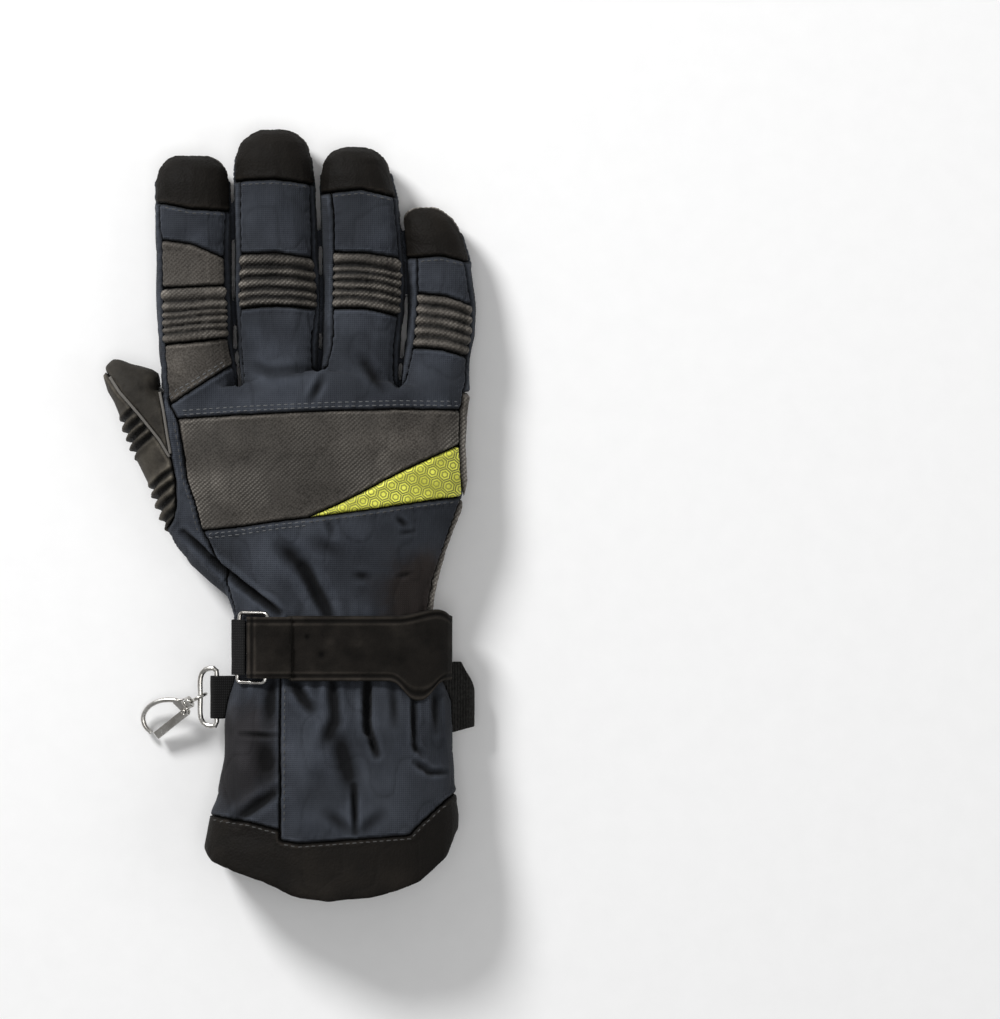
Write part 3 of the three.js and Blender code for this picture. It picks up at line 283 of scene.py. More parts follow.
def remeshed(mesh, voxel):
    """The mesh rebuilt from even voxels, in place of its facets."""
    mesh.remesh_voxel_size = voxel * MM
    piece = bpy.data.objects.new(mesh.name, mesh)
    bpy.context.scene.collection.objects.link(piece)
    modifier = piece.modifiers.new("remesh", "REMESH")
    modifier.mode = "VOXEL"
    modifier.voxel_size = voxel * MM
    graph = bpy.context.evaluated_depsgraph_get()
    result = bpy.data.meshes.new_from_object(piece.evaluated_get(graph))
    bpy.data.objects.remove(piece)
    result.name = mesh.name
    return result


def tree_of(points):
    tree = KDTree(len(points))
    for index, point in enumerate(points.tolist()):
        tree.insert(point, index)
    tree.balance()
    return tree


def nearest(tree, points):
    """Numbers of the nearest points in the tree, and their distances."""
    found = [tree.find(point)[1:] for point in points.tolist()]
    numbers = np.array([row[0] for row in found])
    return numbers, np.array([row[1] for row in found])


def middle_points(points):
    """The nearest point of the bones for each point."""
    best = np.full(len(points), 1e9)
    chosen = np.zeros_like(points)
    for bone in BONES:
        start, end = np.array(bone["start"], float), np.array(bone["end"], float)
        along = end - start
        share = np.clip((points - start) @ along / (along @ along), 0, 1)
        middle = start + share[:, None] * along
        aside = np.clip(points[:, 0] - middle[:, 0], -bone["half"], bone["half"])
        middle[:, 0] += aside
        distance = np.linalg.norm(points - middle, axis=1)
        closer = distance < best
        best[closer] = distance[closer]
        chosen[closer] = middle[closer]
    return chosen


def whole_form(names):
    """The shell as one form: how its smoothed surface differs from its facets, and which way is out."""
    mesh = remeshed(merged_copy(names, "whole"), WHOLE_VOXEL)
    rough = read_mesh(mesh)
    smooth = smoothed(rough, edges_of(mesh), WHOLE_ROUNDS, SHRINK, SWELL)
    write_points(mesh, smooth)
    normals = normals_of(mesh)
    outside = np.einsum("ij,ij->i", normals, smooth - middle_points(smooth)) > 0
    form = {
        "tree": tree_of(rough),
        "shift": smooth - rough,
        "outer_tree": tree_of(rough[outside]),
        "normals": normals[outside],
    }
    bpy.data.meshes.remove(mesh)
    return form


def segment_distance(points, start, end):
    """Distance in plan from points to a line, and how far along it the nearest place is."""
    start, end = np.array(start, float), np.array(end, float)
    along = end - start
    share = np.clip((points[:, :2] - start) @ along / (along @ along), 0, 1)
    return np.linalg.norm(points[:, :2] - (start + share[:, None] * along), axis=1), share


def fold_relief(points):
    """A valley with raised shoulders along each fold."""
    total = np.zeros(len(points))
    for fold in FOLDS:
        away, share = segment_distance(points, fold["start"], fold["end"])
        fade = 0.35 + 0.65 * np.sin(np.pi * share)
        width = fold["width"]
        total -= fold["depth"] * fade * np.exp(-((away / width) ** 2))
        total += 0.28 * fold["depth"] * fade * np.exp(-(((away - FOLD_REACH * width) / width) ** 2))
    return total


def rib_shape(share, grooves):
    """Rounded ribs between grooves, over a share from 0 to 1: 0 in a groove and 1 on a rib."""
    bounds = np.array((0.0, *grooves, 1.0))
    number = np.clip(np.searchsorted(bounds, share, side="right") - 1, 0, len(bounds) - 2)
    low, high = bounds[number], bounds[number + 1]
    within = np.clip((share - low) / (high - low), 0, 1)
    return np.sin(np.pi * within) ** 0.8


def across_curve(x, left, right, heights):
    """Height of a seam that bends through three points across a panel."""
    share = np.clip((x - left) / (right - left), 0, 1)
    low, middle, high = heights
    return low + (4 * middle - 3 * low - high) * share + (2 * low + 2 * high - 4 * middle) * share**2


def rib_relief(points, panel):
    """The padded ribs' height, with puckers at their ends, and their painted shade: dark in the grooves,
    lighter as painted highlight on the ridges, the beads and the puckers.
    """
    x, y = points[:, 0], points[:, 1]
    upper = across_curve(x, panel["left"], panel["right"], panel["upper"])
    lower = across_curve(x, panel["left"], panel["right"], panel["lower"])
    share = (upper - y) / (upper - lower)
    wobble = 0.014 * value_noise(points, 6.0, 3)
    ribs = rib_shape(np.clip(share + wobble, 0, 1), panel["grooves"])
    from_edge = np.minimum(x - panel["left"], panel["right"] - x)
    end = np.exp(-(((from_edge - 1.2) / 1.5) ** 2))
    patchy = np.clip(value_noise(points, 9.0, 6) + 0.4, 0, 1)
    beads = 0.16 * np.sin(2 * np.pi * x / BEAD_PITCH + 11 * share) * patchy
    height = RIB_RISE * (ribs - 0.4) * (1 + 0.5 * end) + beads * ribs
    dark = 1.1 - 1.35 * ribs ** panel["narrow"] - 0.9 * beads - 0.7 * end * ribs
    return height, dark


def thumb_relief(points):
    """The thumb's grooves and the puffs between them, with painted shade in each groove and a painted
    highlight along one edge beside it.
    """
    along = points[:, 0] * THUMB_DIRECTION[0] + points[:, 1] * THUMB_DIRECTION[1]
    along = along + THUMB_SWEEP * (THUMB_TOP - points[:, 2]) + 0.35 * value_noise(points, 7.0, 9)
    height = np.zeros(len(points))
    dark = np.zeros(len(points))
    for level in THUMB_GROOVES:
        away = along - level
        groove = np.exp(-((away / 1.15) ** 2))
        puff = np.exp(-(((np.abs(away) - 2.2) / 0.9) ** 2))
        height += 0.75 * puff - 1.2 * groove
        dark += 1.9 * groove - 0.55 * np.exp(-(((away - 1.9) / 0.55) ** 2))
    return height, dark


def thumb_swell(points):
    """The plump end of the thumb."""
    height = np.zeros(len(points))
    for swell in THUMB_SWELLS:
        away = np.linalg.norm(points[:, :2] - np.array(swell["place"]), axis=1)
        height += swell["rise"] * np.exp(-((away / swell["reach"]) ** 2))
    return height


def seam_relief(points, distance, toward, outward, puckered):
    """The dip at a seam, the roll beside it, and small puckers that run away from it."""
    flank = 0.35 + 0.65 * np.clip(1.6 * np.abs(outward[:, 2]), 0, 1)
    dip = -SEAM_DIP * flank * np.exp(-((distance / 0.9) ** 2))
    roll = SEAM_ROLL * np.exp(-(((distance - 2.2) / 1.1) ** 2))
    tangent = np.cross(toward, outward)
    length = np.maximum(np.linalg.norm(tangent, axis=1), 1e-6)[:, None]
    run = np.einsum("ij,ij->i", points, tangent / length)
    wave = np.sin(2 * np.pi * run / PUCKER_PITCH + 2.5 * value_noise(points, 9.0, 5))
    pucker = puckered * wave * np.exp(-(((distance - 2.0) / 2.6) ** 2))
    return dip + roll + pucker


def seam_shade(points, distance):
    """Painted shade in the dip at a seam, with a painted highlight along the folded edge beside it,
    stronger in patches.
    """
    wear_and_highlight_patches = 0.55 + 0.45 * value_noise(points, 12.0, 7)
    line = np.exp(-(((distance - 1.75) / 0.5) ** 2))
    return 1.25 * np.exp(-((distance / 0.75) ** 2)) - 0.55 * wear_and_highlight_patches * line


def gather_relief(points):
    """Elastic gathers round the wrist, strongest under the strap and on the palm side."""
    across = np.sin(2 * np.pi * points[:, 0] / GATHER_PITCH + 1.7 * value_noise(points, 11.0, 8))
    level = np.exp(-(((points[:, 1] - GATHER_LEVEL) / GATHER_REACH) ** 2))
    under = np.where(points[:, 2] < 12, 1.0, 0.5)
    return 0.75 * across * level * under


def cloth_relief(points, strength):
    """Slow undulations and small creases of the cloth or leather."""
    slow = value_noise(points, 19.0, 1) * 0.6
    middle = value_noise(points, 8.0, 2) * 0.28
    crease = -np.exp(-(np.abs(value_noise(points * [1, 0.55, 1], 10.0, 4)) / 0.06)) * 0.34
    return strength * (slow + middle + crease)


def mouth_corner(points):
    """1 at the two sides of the gauntlet's mouth, where hem and palm stay flush, and 0 elsewhere."""
    aside = smooth_step(np.abs(points[:, 0] - MOUTH_MIDDLE), 42, 50)
    return aside * smooth_step(-points[:, 1], 140, 150)


# How strongly each finish undulates, and how it puckers at its seams
CLOTHS = {
    "navy_cloth": {"soft": 1.0, "pucker": 0.2},
    "black_leather": {"soft": 0.55, "pucker": 0.12},
    "twill_leather": {"soft": 0.75, "pucker": 0.16},
    "index_leather": {"soft": 0.75, "pucker": 0.16},
    "palm_leather": {"soft": 0.75, "pucker": 0.16},
    "thumb_leather": {"soft": 0.6, "pucker": 0.1},
    "speckled_leather": {"soft": 0.55, "pucker": 0.12},
    "reflective_cloth": {"soft": 0.35, "pucker": 0.08},
    "black_suede": {"soft": 0.8, "pucker": 0.2},
}


def relief_of(name, finish, points, distance, toward, outward):
    """How far each point stands out, and its painted shade: dark deep in grooves, folds and seams,
    lighter as painted highlight on what stands proud.
    """
    upward = np.clip(outward[:, 2] * 1.6, 0, 1)
    height = seam_relief(points, distance, toward, outward, CLOTHS[finish]["pucker"])
    dark = seam_shade(points, distance)
    if name in RIB_PANELS:
        ribs, rib_dark = rib_relief(points, RIB_PANELS[name])
        height += ribs * upward
        dark += rib_dark * upward
    if name == "thumb_dorsal":
        ribs, rib_dark = thumb_relief(points)
        height += ribs
        dark += rib_dark
    if name in ("thumb_dorsal", "thumb_palmar"):
        height += thumb_swell(points)
    folds = fold_relief(points) * upward
    gathers = gather_relief(points)
    soft = cloth_relief(points, CLOTHS[finish]["soft"])
    # Painted shade in folds, gathers and creases, and painted highlight on their raised shoulders
    dark += np.clip(-folds / 1.6, -0.35, 1.3) + np.clip(-gathers / 1.1, -0.4, 0.8)
    dark += np.clip(-soft / 1.6, -0.35, 0.5)
    height = (height + folds + gathers + soft) * (1 - mouth_corner(points))
    return height, np.clip(NEUTRAL + (1 - NEUTRAL) * dark, 0, 1)


def shell_piece(name, finish, mesh, form, others):
    """One sewn panel: its CAD solid rebuilt finely, smoothed, and given its relief."""
    points = read_mesh(mesh)
    edges = edges_of(mesh)
    numbers, _ = nearest(form["tree"], points)
    shift = smoothed(form["shift"][numbers], edges, BLEND_ROUNDS, SHRINK, 0)
    numbers, _ = nearest(form["outer_tree"], points)
    outward = smoothed(form["normals"][numbers], edges, BLEND_ROUNDS, SHRINK, 0)
    outward /= np.maximum(np.linalg.norm(outward, axis=1), 1e-6)[:, None]
    numbers, distance = nearest(others["tree"], points)
    toward = others["points"][numbers] - points
    toward /= np.maximum(np.linalg.norm(toward, axis=1), 1e-6)[:, None]
    height, depth = relief_of(name, finish, points, distance, toward, outward)
    rounded = smoothed(points, edges, EDGE_ROUNDS, SHRINK, 0)
    inside = np.einsum("ij,ij->i", normals_of(mesh), outward) < -0.2
    result = rounded + shift + outward * height[:, None]
    result[:, 2] = np.maximum(result[:, 2], np.where(inside, 1.2, 0.0))
    write_points(mesh, result)
    # Painted shade in grooves, folds and seams and painted highlight on what stands proud, kept for the
    # materials
    store_painted_shade_and_highlight(mesh, depth)
    piece = bpy.data.objects.new("look_" + name, mesh)
    bpy.context.scene.collection.objects.link(piece)
    face_inside(mesh, inside)
    return piece


def store_painted_shade_and_highlight(mesh, depth):
    """Keeps on each vertex its painted shade and highlight, for the materials to darken in grooves and
    lighten on what stands proud.
    """
    attribute = mesh.attributes.new(SHADE_AND_HIGHLIGHT_ATTRIBUTE, "FLOAT", "POINT")
    attribute.data.foreach_set("value", depth.astype(np.float32))


def face_inside(mesh, inside):
    """Gives the faces on the hollow's side the second material, and shades all of them smooth."""
    count = len(mesh.polygons)
    starts = np.empty(count, dtype=np.int64)
    mesh.polygons.foreach_get("loop_start", starts)
    corners = np.empty(len(mesh.loops), dtype=np.int64)
    mesh.loops.foreach_get("vertex_index", corners)
    mesh.polygons.foreach_set("material_index", inside[corners[starts]].astype(np.int32))
    mesh.polygons.foreach_set("use_smooth", np.ones(count, dtype=bool))
    mesh.update()


def new_material(name):
    material = bpy.data.materials.new(name)
    material.use_nodes = True
    material.node_tree.nodes.clear()
    return material, material.node_tree


def put(tree, kind, inputs=None, **settings):
    """A shader node with its settings and its inputs, each a value or another node's output."""
    node = tree.nodes.new(kind)
    for key, value in settings.items():
        setattr(node, key, value)
    for key, value in (inputs or {}).items():
        if isinstance(value, bpy.types.NodeSocket):
            tree.links.new(value, node.inputs[key])
        else:
            node.inputs[key].default_value = value
    return node


def math_node(tree, operation, first, second=0.0):
    return put(tree, "ShaderNodeMath", {0: first, 1: second}, operation=operation).outputs[0]


def ramp(tree, factor, stops):
    node = put(tree, "ShaderNodeValToRGB", {"Fac": factor})
    elements = node.color_ramp.elements
    for index, (place, colour) in enumerate(stops):
        element = elements[index] if index < 2 else elements.new(place)
        element.position = place
        element.color = (*colour, 1)
    return node.outputs["Color"]


def mixed(tree, factor, first, second, blend="MIX"):
    node = put(tree, "ShaderNodeMix", data_type="RGBA", blend_type=blend)
    for index, value in ((0, factor), (6, first), (7, second)):
        if isinstance(value, bpy.types.NodeSocket):
            tree.links.new(value, node.inputs[index])
        else:
            node.inputs[index].default_value = value if index == 0 else (*value, 1)
    return node.outputs[2]


def noise_node(tree, place, scale, detail=3.0, rough=0.55):
    inputs = {"Vector": place, "Scale": scale, "Detail": detail, "Roughness": rough}
    return put(tree, "ShaderNodeTexNoise", inputs).outputs["Fac"]


def finish_material(tree, colour, rough, height, distance, sheen=0.0, metallic=0.0, specular=0.4):
    relief = {"Height": height, "Strength": 1.0, "Distance": distance * MM}
    bump = put(tree, "ShaderNodeBump", relief)
    inputs = {
        "Base Color": colour,
        "Roughness": rough,
        "Metallic": metallic,
        "Specular IOR Level": specular,
        "Sheen Weight": sheen,
        "Sheen Roughness": 0.6,
        "Normal": bump.outputs["Normal"],
    }
    shader = put(tree, "ShaderNodeBsdfPrincipled", inputs)
    put(tree, "ShaderNodeOutputMaterial", {"Surface": shader.outputs["BSDF"]})


def with_painted_shade_and_highlight(tree, colour, light=1.9, dark=0.12):
    """The colour with painted shade, darker in grooves and folds, and painted highlight, lighter on what
    stands proud.
    """
    depth = put(tree, "ShaderNodeAttribute", attribute_name=SHADE_AND_HIGHLIGHT_ATTRIBUTE, attribute_type="GEOMETRY")
    stops = [(0.0, (light,) * 3), (NEUTRAL, (1, 1, 1)), (1.0, (dark,) * 3)]
    shade = ramp(tree, depth.outputs["Fac"], stops)
    return mixed(tree, 1.0, colour, shade, "MULTIPLY")


def between(tree, value, low, high, least=0.0, most=1.0):
    """A value mapped smoothly from one range to another."""
    inputs = {"Value": value, "From Min": low, "From Max": high, "To Min": least, "To Max": most}
    return put(tree, "ShaderNodeMapRange", inputs, interpolation_type="SMOOTHSTEP").outputs[0]


# Worn brown patches on the navy cloth: a middle and a radius
STAINS = [
    {"centre": (44, -54, 24), "radius": 25, "colour": (0.021, 0.0155, 0.0125)},
    {"centre": (-36, -122, 30), "radius": 27, "colour": (0.0135, 0.012, 0.0125)},
]


def stained(tree, place, colour):
    ragged = noise_node(tree, place, 90, 4)
    for stain in STAINS:
        centre = tuple(value * MM for value in stain["centre"])
        away = put(tree, "ShaderNodeVectorMath", {0: place, 1: centre}, operation="DISTANCE")
        reach = math_node(tree, "DIVIDE", away.outputs["Value"], stain["radius"] * MM)
        reach = math_node(tree, "ADD", reach, math_node(tree, "MULTIPLY", ragged, 0.8))
        colour = mixed(tree, between(tree, reach, 0.85, 1.5, 0.85, 0.0), colour, stain["colour"])
    return colour


def place_of(tree):
    return put(tree, "ShaderNodeTexCoord").outputs["Object"]


def turned(tree, place, angle, scale=(1, 1, 1)):
    inputs = {"Vector": place, "Rotation": (0, 0, angle), "Scale": scale}
    return put(tree, "ShaderNodeMapping", inputs).outputs["Vector"]


def bands(tree, place, pitch, distortion=0.0, detail_scale=1.0):
    """Soft stripes along X, one each pitch in millimetres, from 0 to 1."""
    scale = 2 * math.pi / 20 / (pitch * MM)
    inputs = {
        "Vector": place, "Scale": scale, "Distortion": distortion,
        "Detail": 1.0, "Detail Scale": detail_scale,
    }
    return put(tree, "ShaderNodeTexWave", inputs, bands_direction="X").outputs["Fac"]


def navy_cloth():
    material, tree = new_material("navy_cloth")
    place = place_of(tree)
    warp = bands(tree, place, 0.85, 1.2)
    weft = bands(tree, turned(tree, place, math.pi / 2), 0.85, 1.2)
    weave = math_node(tree, "MULTIPLY", warp, weft)
    slubs = noise_node(tree, turned(tree, place, 0.0, (1, 0.25, 1)), 900)
    patches = noise_node(tree, place, 55, 4)
    colour = ramp(tree, patches, [(0.3, (0.0145, 0.017, 0.0225)), (0.72, (0.0305, 0.0345, 0.0425))])
    colour = mixed(tree, math_node(tree, "MULTIPLY", slubs, 0.5), colour, (0.042, 0.047, 0.057))
    colour = mixed(tree, math_node(tree, "MULTIPLY", weave, 0.4), colour, (0.008, 0.009, 0.013))
    colour = stained(tree, place, colour)
    height = math_node(tree, "ADD", math_node(tree, "MULTIPLY", weave, 0.6), slubs)
    finish_material(tree, with_painted_shade_and_highlight(tree, colour), 0.9, height, 0.25, sheen=0.02, specular=0.15)
    return material


def scaled(colour, factor):
    return tuple(value * factor for value in colour)


def twill_leather(name, strength, bright):
    """Leather embossed with diagonal threads that rise to the right, worn faint in places."""
    material, tree = new_material(name)
    place = place_of(tree)
    rising = bands(tree, turned(tree, place, math.radians(-133)), 1.4, 1.6, 2.0)
    crossing = bands(tree, turned(tree, place, math.radians(-48)), 1.15, 2.0, 2.0)
    grain = noise_node(tree, place, 1300, 2)
    patches = noise_node(tree, place, 38, 4)
    wear_and_highlight_patches = between(tree, noise_node(tree, place, 30, 3), 0.40, 0.6, 0.2, 1.0)
    crossed = math_node(tree, "ADD", math_node(tree, "MULTIPLY", crossing, 0.8), 0.4)
    threads = math_node(tree, "MULTIPLY", math_node(tree, "MULTIPLY", rising, crossed), wear_and_highlight_patches)
    threads = math_node(tree, "MULTIPLY", threads, strength)
    dull, pale = scaled((0.017, 0.0145, 0.012), bright), scaled((0.034, 0.030, 0.026), bright)
    ground = ramp(tree, patches, [(0.32, dull), (0.7, pale)])
    dull, pale = scaled((0.105, 0.095, 0.082), bright), scaled((0.190, 0.177, 0.157), bright)
    light = ramp(tree, patches, [(0.32, dull), (0.7, pale)])
    colour = mixed(tree, math_node(tree, "MULTIPLY", threads, 0.85), ground, light)
    specks = between(tree, grain, 0.35, 0.65)
    speck = scaled((0.075, 0.068, 0.060), bright)
    colour = mixed(tree, math_node(tree, "MULTIPLY", specks, 0.5), colour, speck)
    height = math_node(tree, "ADD", threads, math_node(tree, "MULTIPLY", grain, 0.6))
    finish_material(tree, with_painted_shade_and_highlight(tree, colour, 2.3, 0.08), 0.75, height, 0.26, specular=0.2)
    return material


def mottled_leather(name, bright):
    """Plain worn leather, brown and mottled."""
    material, tree = new_material(name)
    place = place_of(tree)
    grain = noise_node(tree, place, 700, 4)
    mottle = noise_node(tree, place, 130, 5, 0.6)
    dull, pale = scaled((0.015, 0.0125, 0.010), bright), scaled((0.049, 0.043, 0.034), bright)
    colour = ramp(tree, mottle, [(0.32, dull), (0.7, pale)])
    speck = scaled((0.054, 0.049, 0.040), bright)
    colour = mixed(tree, math_node(tree, "MULTIPLY", grain, 0.4), colour, speck)
    rough = math_node(tree, "ADD", math_node(tree, "MULTIPLY", mottle, 0.2), 0.6)
    height = math_node(tree, "ADD", grain, math_node(tree, "MULTIPLY", mottle, 0.5))
    finish_material(tree, with_painted_shade_and_highlight(tree, colour, 2.6, 0.08), rough, height, 0.2, specular=0.2)
    return material


def black_leather():
    material, tree = new_material("black_leather")
    place = place_of(tree)
    pores = put(tree, "ShaderNodeTexVoronoi", {"Vector": place, "Scale": 1100.0}).outputs["Distance"]
    grain = noise_node(tree, place, 520, 4)
    patches = noise_node(tree, place, 45, 4)
    colour = ramp(tree, patches, [(0.3, (0.0026, 0.0021, 0.0016)), (0.75, (0.0070, 0.0056, 0.0043))])
    colour = mixed(tree, math_node(tree, "MULTIPLY", grain, 0.4), colour, (0.0120, 0.0100, 0.0080))
    rough = math_node(tree, "ADD", math_node(tree, "MULTIPLY", patches, 0.2), 0.6)
    height = math_node(tree, "ADD", pores, grain)
    finish_material(tree, with_painted_shade_and_highlight(tree, colour, 3.2, 0.15), rough, height, 0.16, specular=0.12)
    return material


def black_suede():
    material, tree = new_material("black_suede")
    place = place_of(tree)
    nap = noise_node(tree, place, 1500, 3, 0.7)
    mottle = noise_node(tree, place, 110, 5, 0.65)
    colour = ramp(tree, mottle, [(0.32, (0.0040, 0.0034, 0.0028)), (0.7, (0.0125, 0.0105, 0.0088))])
    colour = mixed(tree, math_node(tree, "MULTIPLY", nap, 0.45), colour, (0.0145, 0.0128, 0.0108))
    height = math_node(tree, "ADD", nap, mottle)
    finish_material(tree, with_painted_shade_and_highlight(tree, colour, 3.2, 0.15), 0.95, height, 0.3, sheen=0.02, specular=0.08)
    return material


def hexagon_distance(tree, across, up):
    """Distance from a hexagon's middle, 1 at its sides, for a place inside its cell."""
    flat = math_node(tree, "ABSOLUTE", across)
    tall = math_node(tree, "ABSOLUTE", up)
    tilted = math_node(tree, "MULTIPLY", tall, 0.866)
    slanted = math_node(tree, "ADD", math_node(tree, "MULTIPLY", flat, 0.5), tilted)
    return math_node(tree, "MAXIMUM", flat, slanted)


def cell_place(tree, value, shift):
    """Where a value lies in its cell, from -0.5 to 0.5."""
    moved = math_node(tree, "ADD", value, 50 + shift)
    return math_node(tree, "SUBTRACT", math_node(tree, "FRACT", moved), 0.5)


def hexagon_cells(tree, place, size, shift):
    """The hexagon distance in one of the two brick lattices that together make a honeycomb."""
    parts = put(tree, "ShaderNodeSeparateXYZ", {"Vector": place})
    across = math_node(tree, "MULTIPLY", parts.outputs["X"], 1 / (size * MM))
    up = math_node(tree, "MULTIPLY", parts.outputs["Y"], 1 / (size * MM * math.sqrt(3)))
    across = math_node(tree, "MULTIPLY", cell_place(tree, across, shift), 2)
    up = math_node(tree, "MULTIPLY", cell_place(tree, up, shift), 2 * math.sqrt(3))
    return hexagon_distance(tree, across, up)


HEXAGON = 5.3


def reflective_cloth():
    """Yellow cloth with a honeycomb of thin olive hexagons and a ring inside each."""
    material, tree = new_material("reflective_cloth")
    place = turned(tree, place_of(tree), math.radians(12))
    first = hexagon_cells(tree, place, HEXAGON, 0.0)
    second = hexagon_cells(tree, place, HEXAGON, 0.5)
    inside = math_node(tree, "MINIMUM", first, second)
    rim = put(tree, "ShaderNodeMath", {0: inside, 1: 0.84, 2: 0.1}, operation="COMPARE").outputs[0]
    ring = put(tree, "ShaderNodeMath", {0: inside, 1: 0.42, 2: 0.1}, operation="COMPARE").outputs[0]
    lines = math_node(tree, "MAXIMUM", rim, math_node(tree, "MULTIPLY", ring, 0.85))
    patches = noise_node(tree, place, 150, 4)
    beads = noise_node(tree, place, 1600, 2)
    ground = ramp(tree, patches, [(0.3, (0.46, 0.46, 0.034)), (0.7, (0.82, 0.83, 0.095))])
    kept = math_node(tree, "ADD", math_node(tree, "MULTIPLY", patches, 0.8), 0.45)
    colour = mixed(tree, math_node(tree, "MULTIPLY", lines, kept), ground, (0.085, 0.083, 0.022))
    colour = mixed(tree, math_node(tree, "MULTIPLY", beads, 0.2), colour, (0.80, 0.80, 0.22))
    height = math_node(tree, "ADD", beads, math_node(tree, "MULTIPLY", lines, -0.8))
    finish_material(tree, with_painted_shade_and_highlight(tree, colour, 1.3, 0.2), 0.5, height, 0.12, specular=0.3)
    return material


def webbing():
    material, tree = new_material("webbing")
    place = place_of(tree)
    cords = bands(tree, turned(tree, place, math.pi / 2), 1.1, 0.6)
    picks = bands(tree, place, 0.9, 0.6)
    weave = math_node(tree, "MULTIPLY", cords, picks)
    dust = noise_node(tree, place, 300, 4)
    colour = mixed(tree, weave, (0.003, 0.003, 0.003), (0.012, 0.0118, 0.0112))
    colour = mixed(tree, math_node(tree, "MULTIPLY", dust, 0.25), colour, (0.014, 0.014, 0.015))
    finish_material(tree, colour, 0.85, weave, 0.3, sheen=0.03, specular=0.12)
    return material


def hook_tape():
    material, tree = new_material("hook_tape")
    place = place_of(tree)
    rows = bands(tree, place, 1.2, 0.8)
    tufts = put(tree, "ShaderNodeTexVoronoi", {"Vector": place, "Scale": 900.0}).outputs["Distance"]
    dust = noise_node(tree, place, 200, 4)
    colour = mixed(tree, tufts, (0.008, 0.0078, 0.0072), (0.030, 0.029, 0.027))
    colour = mixed(tree, math_node(tree, "MULTIPLY", dust, 0.3), colour, (0.020, 0.020, 0.019))
    height = math_node(tree, "ADD", rows, tufts)
    finish_material(tree, colour, 0.9, height, 0.35, sheen=0.03, specular=0.1)
    return material


def nickel():
    material, tree = new_material("nickel")
    place = place_of(tree)
    scratches = noise_node(tree, turned(tree, place, 0.4, (1, 0.15, 1)), 1800, 3)
    tarnish = noise_node(tree, place, 260, 4)
    colour = ramp(tree, tarnish, [(0.35, (0.44, 0.42, 0.39)), (0.65, (0.66, 0.65, 0.62))])
    rough = math_node(tree, "ADD", math_node(tree, "MULTIPLY", tarnish, 0.22), 0.14)
    finish_material(tree, colour, rough, scratches, 0.02, metallic=1.0, specular=0.5)
    return material


def lining():
    """The dark fleece on the walls of the hollow."""
    material, tree = new_material("lining")
    place = place_of(tree)
    pile = noise_node(tree, place, 800, 4, 0.7)
    colour = mixed(tree, pile, (0.020, 0.020, 0.022), (0.055, 0.055, 0.060))
    finish_material(tree, colour, 0.97, pile, 0.5, sheen=0.1, specular=0.1)
    return material


def thread(name, colour):
    material, tree = new_material(name)
    twist = noise_node(tree, place_of(tree), 2500, 2)
    dark = tuple(value * 0.55 for value in colour)
    shade = mixed(tree, twist, dark, colour)
    finish_material(tree, shade, 0.7, twist, 0.08, sheen=0.1, specular=0.3)
    return material


MATERIALS = {
    "navy_cloth": navy_cloth(),
    "twill_leather": twill_leather("twill_leather", 1.0, 1.0),
    "index_leather": twill_leather("index_leather", 0.3, 1.25),
    "palm_leather": twill_leather("palm_leather", 1.0, 1.5),
    "thumb_leather": mottled_leather("thumb_leather", 1.1),
    "speckled_leather": mottled_leather("speckled_leather", 0.6),
    "black_leather": black_leather(),
    "black_suede": black_suede(),
    "reflective_cloth": reflective_cloth(),
    "webbing": webbing(),
    "hook_tape": hook_tape(),
    "nickel": nickel(),
}
LINING = lining()
PIPING_LEATHER = thread("piping_leather", (0.150, 0.140, 0.126))


def dress(piece, finish, node, body="glove"):
    """Gives a piece its material if it has none and its place on a body, and hides the CAD node that it
    stands for.
    """
    if not piece.data.materials:
        piece.data.materials.append(MATERIALS[finish])
    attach(piece, body)
    if node:
        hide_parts(node)


def build_shell():
    names = [name for group in SHELL.values() for name in group]
    form = whole_form(names)
    meshes = {}
    for name in names:
        voxel = PALM_VOXEL if name in PALM_SIDE else PANEL_VOXEL
        meshes[name] = remeshed(merged_copy([name], name), voxel)
    dense = {name: read_mesh(mesh) for name, mesh in meshes.items()}
    pieces = []
    for finish, group in SHELL.items():
        for name in group:
            low, high = dense[name].min(0) - 9, dense[name].max(0) + 9
            near = np.concatenate([dense[other] for other in names if other != name])
            near = near[np.all((near > low) & (near < high), axis=1)]
            others = {"tree": tree_of(near), "points": near}
            piece = shell_piece(name, finish, meshes[name], form, others)
            piece.data.materials.clear()
            piece.data.materials.append(MATERIALS[finish])
            piece.data.materials.append(LINING)
            dress(piece, SLOTS.get(finish, finish), name)
            pieces.append(piece)
    return pieces


def smooth_solid(node, voxel, rounds, name):
    """A CAD node rebuilt with even, rounded facets."""
    mesh = remeshed(merged_copy([node], name), voxel)
    points = smoothed(read_mesh(mesh), edges_of(mesh), rounds, SHRINK, SWELL)
    write_points(mesh, points)
    mesh.polygons.foreach_set("use_smooth", np.ones(len(mesh.polygons), dtype=bool))
    piece = bpy.data.objects.new(name, mesh)
    bpy.context.scene.collection.objects.link(piece)
    return piece


# The strap: its two edges, its dents (x, y and size), the end that it is drawn out to, how far its
# stitched end steps down, how its lower edge droops and its upper edge lifts, and where the wrist's
# side lies at a few places along the glove
STRAP_BACK = -90.5
STRAP_FRONT = -62.5
STRAP_DENTS = [(-5.0, -71.5, 1.1), (1.2, -79.2, 1.6)]
STRAP_END = 57.2
STITCHED_STEP = 2.7
DROOP_DEPTH = 8.4
DROOP_MIDDLE = 42
DROOP_REACH = 6.8
LIFT_RISE = 4.0
WRIST_SIDE = {"below": [61, 73, 83, 91], "x": [51.8, 52.3, 53.1, 56.5]}
DENT_DEPTH = 0.9


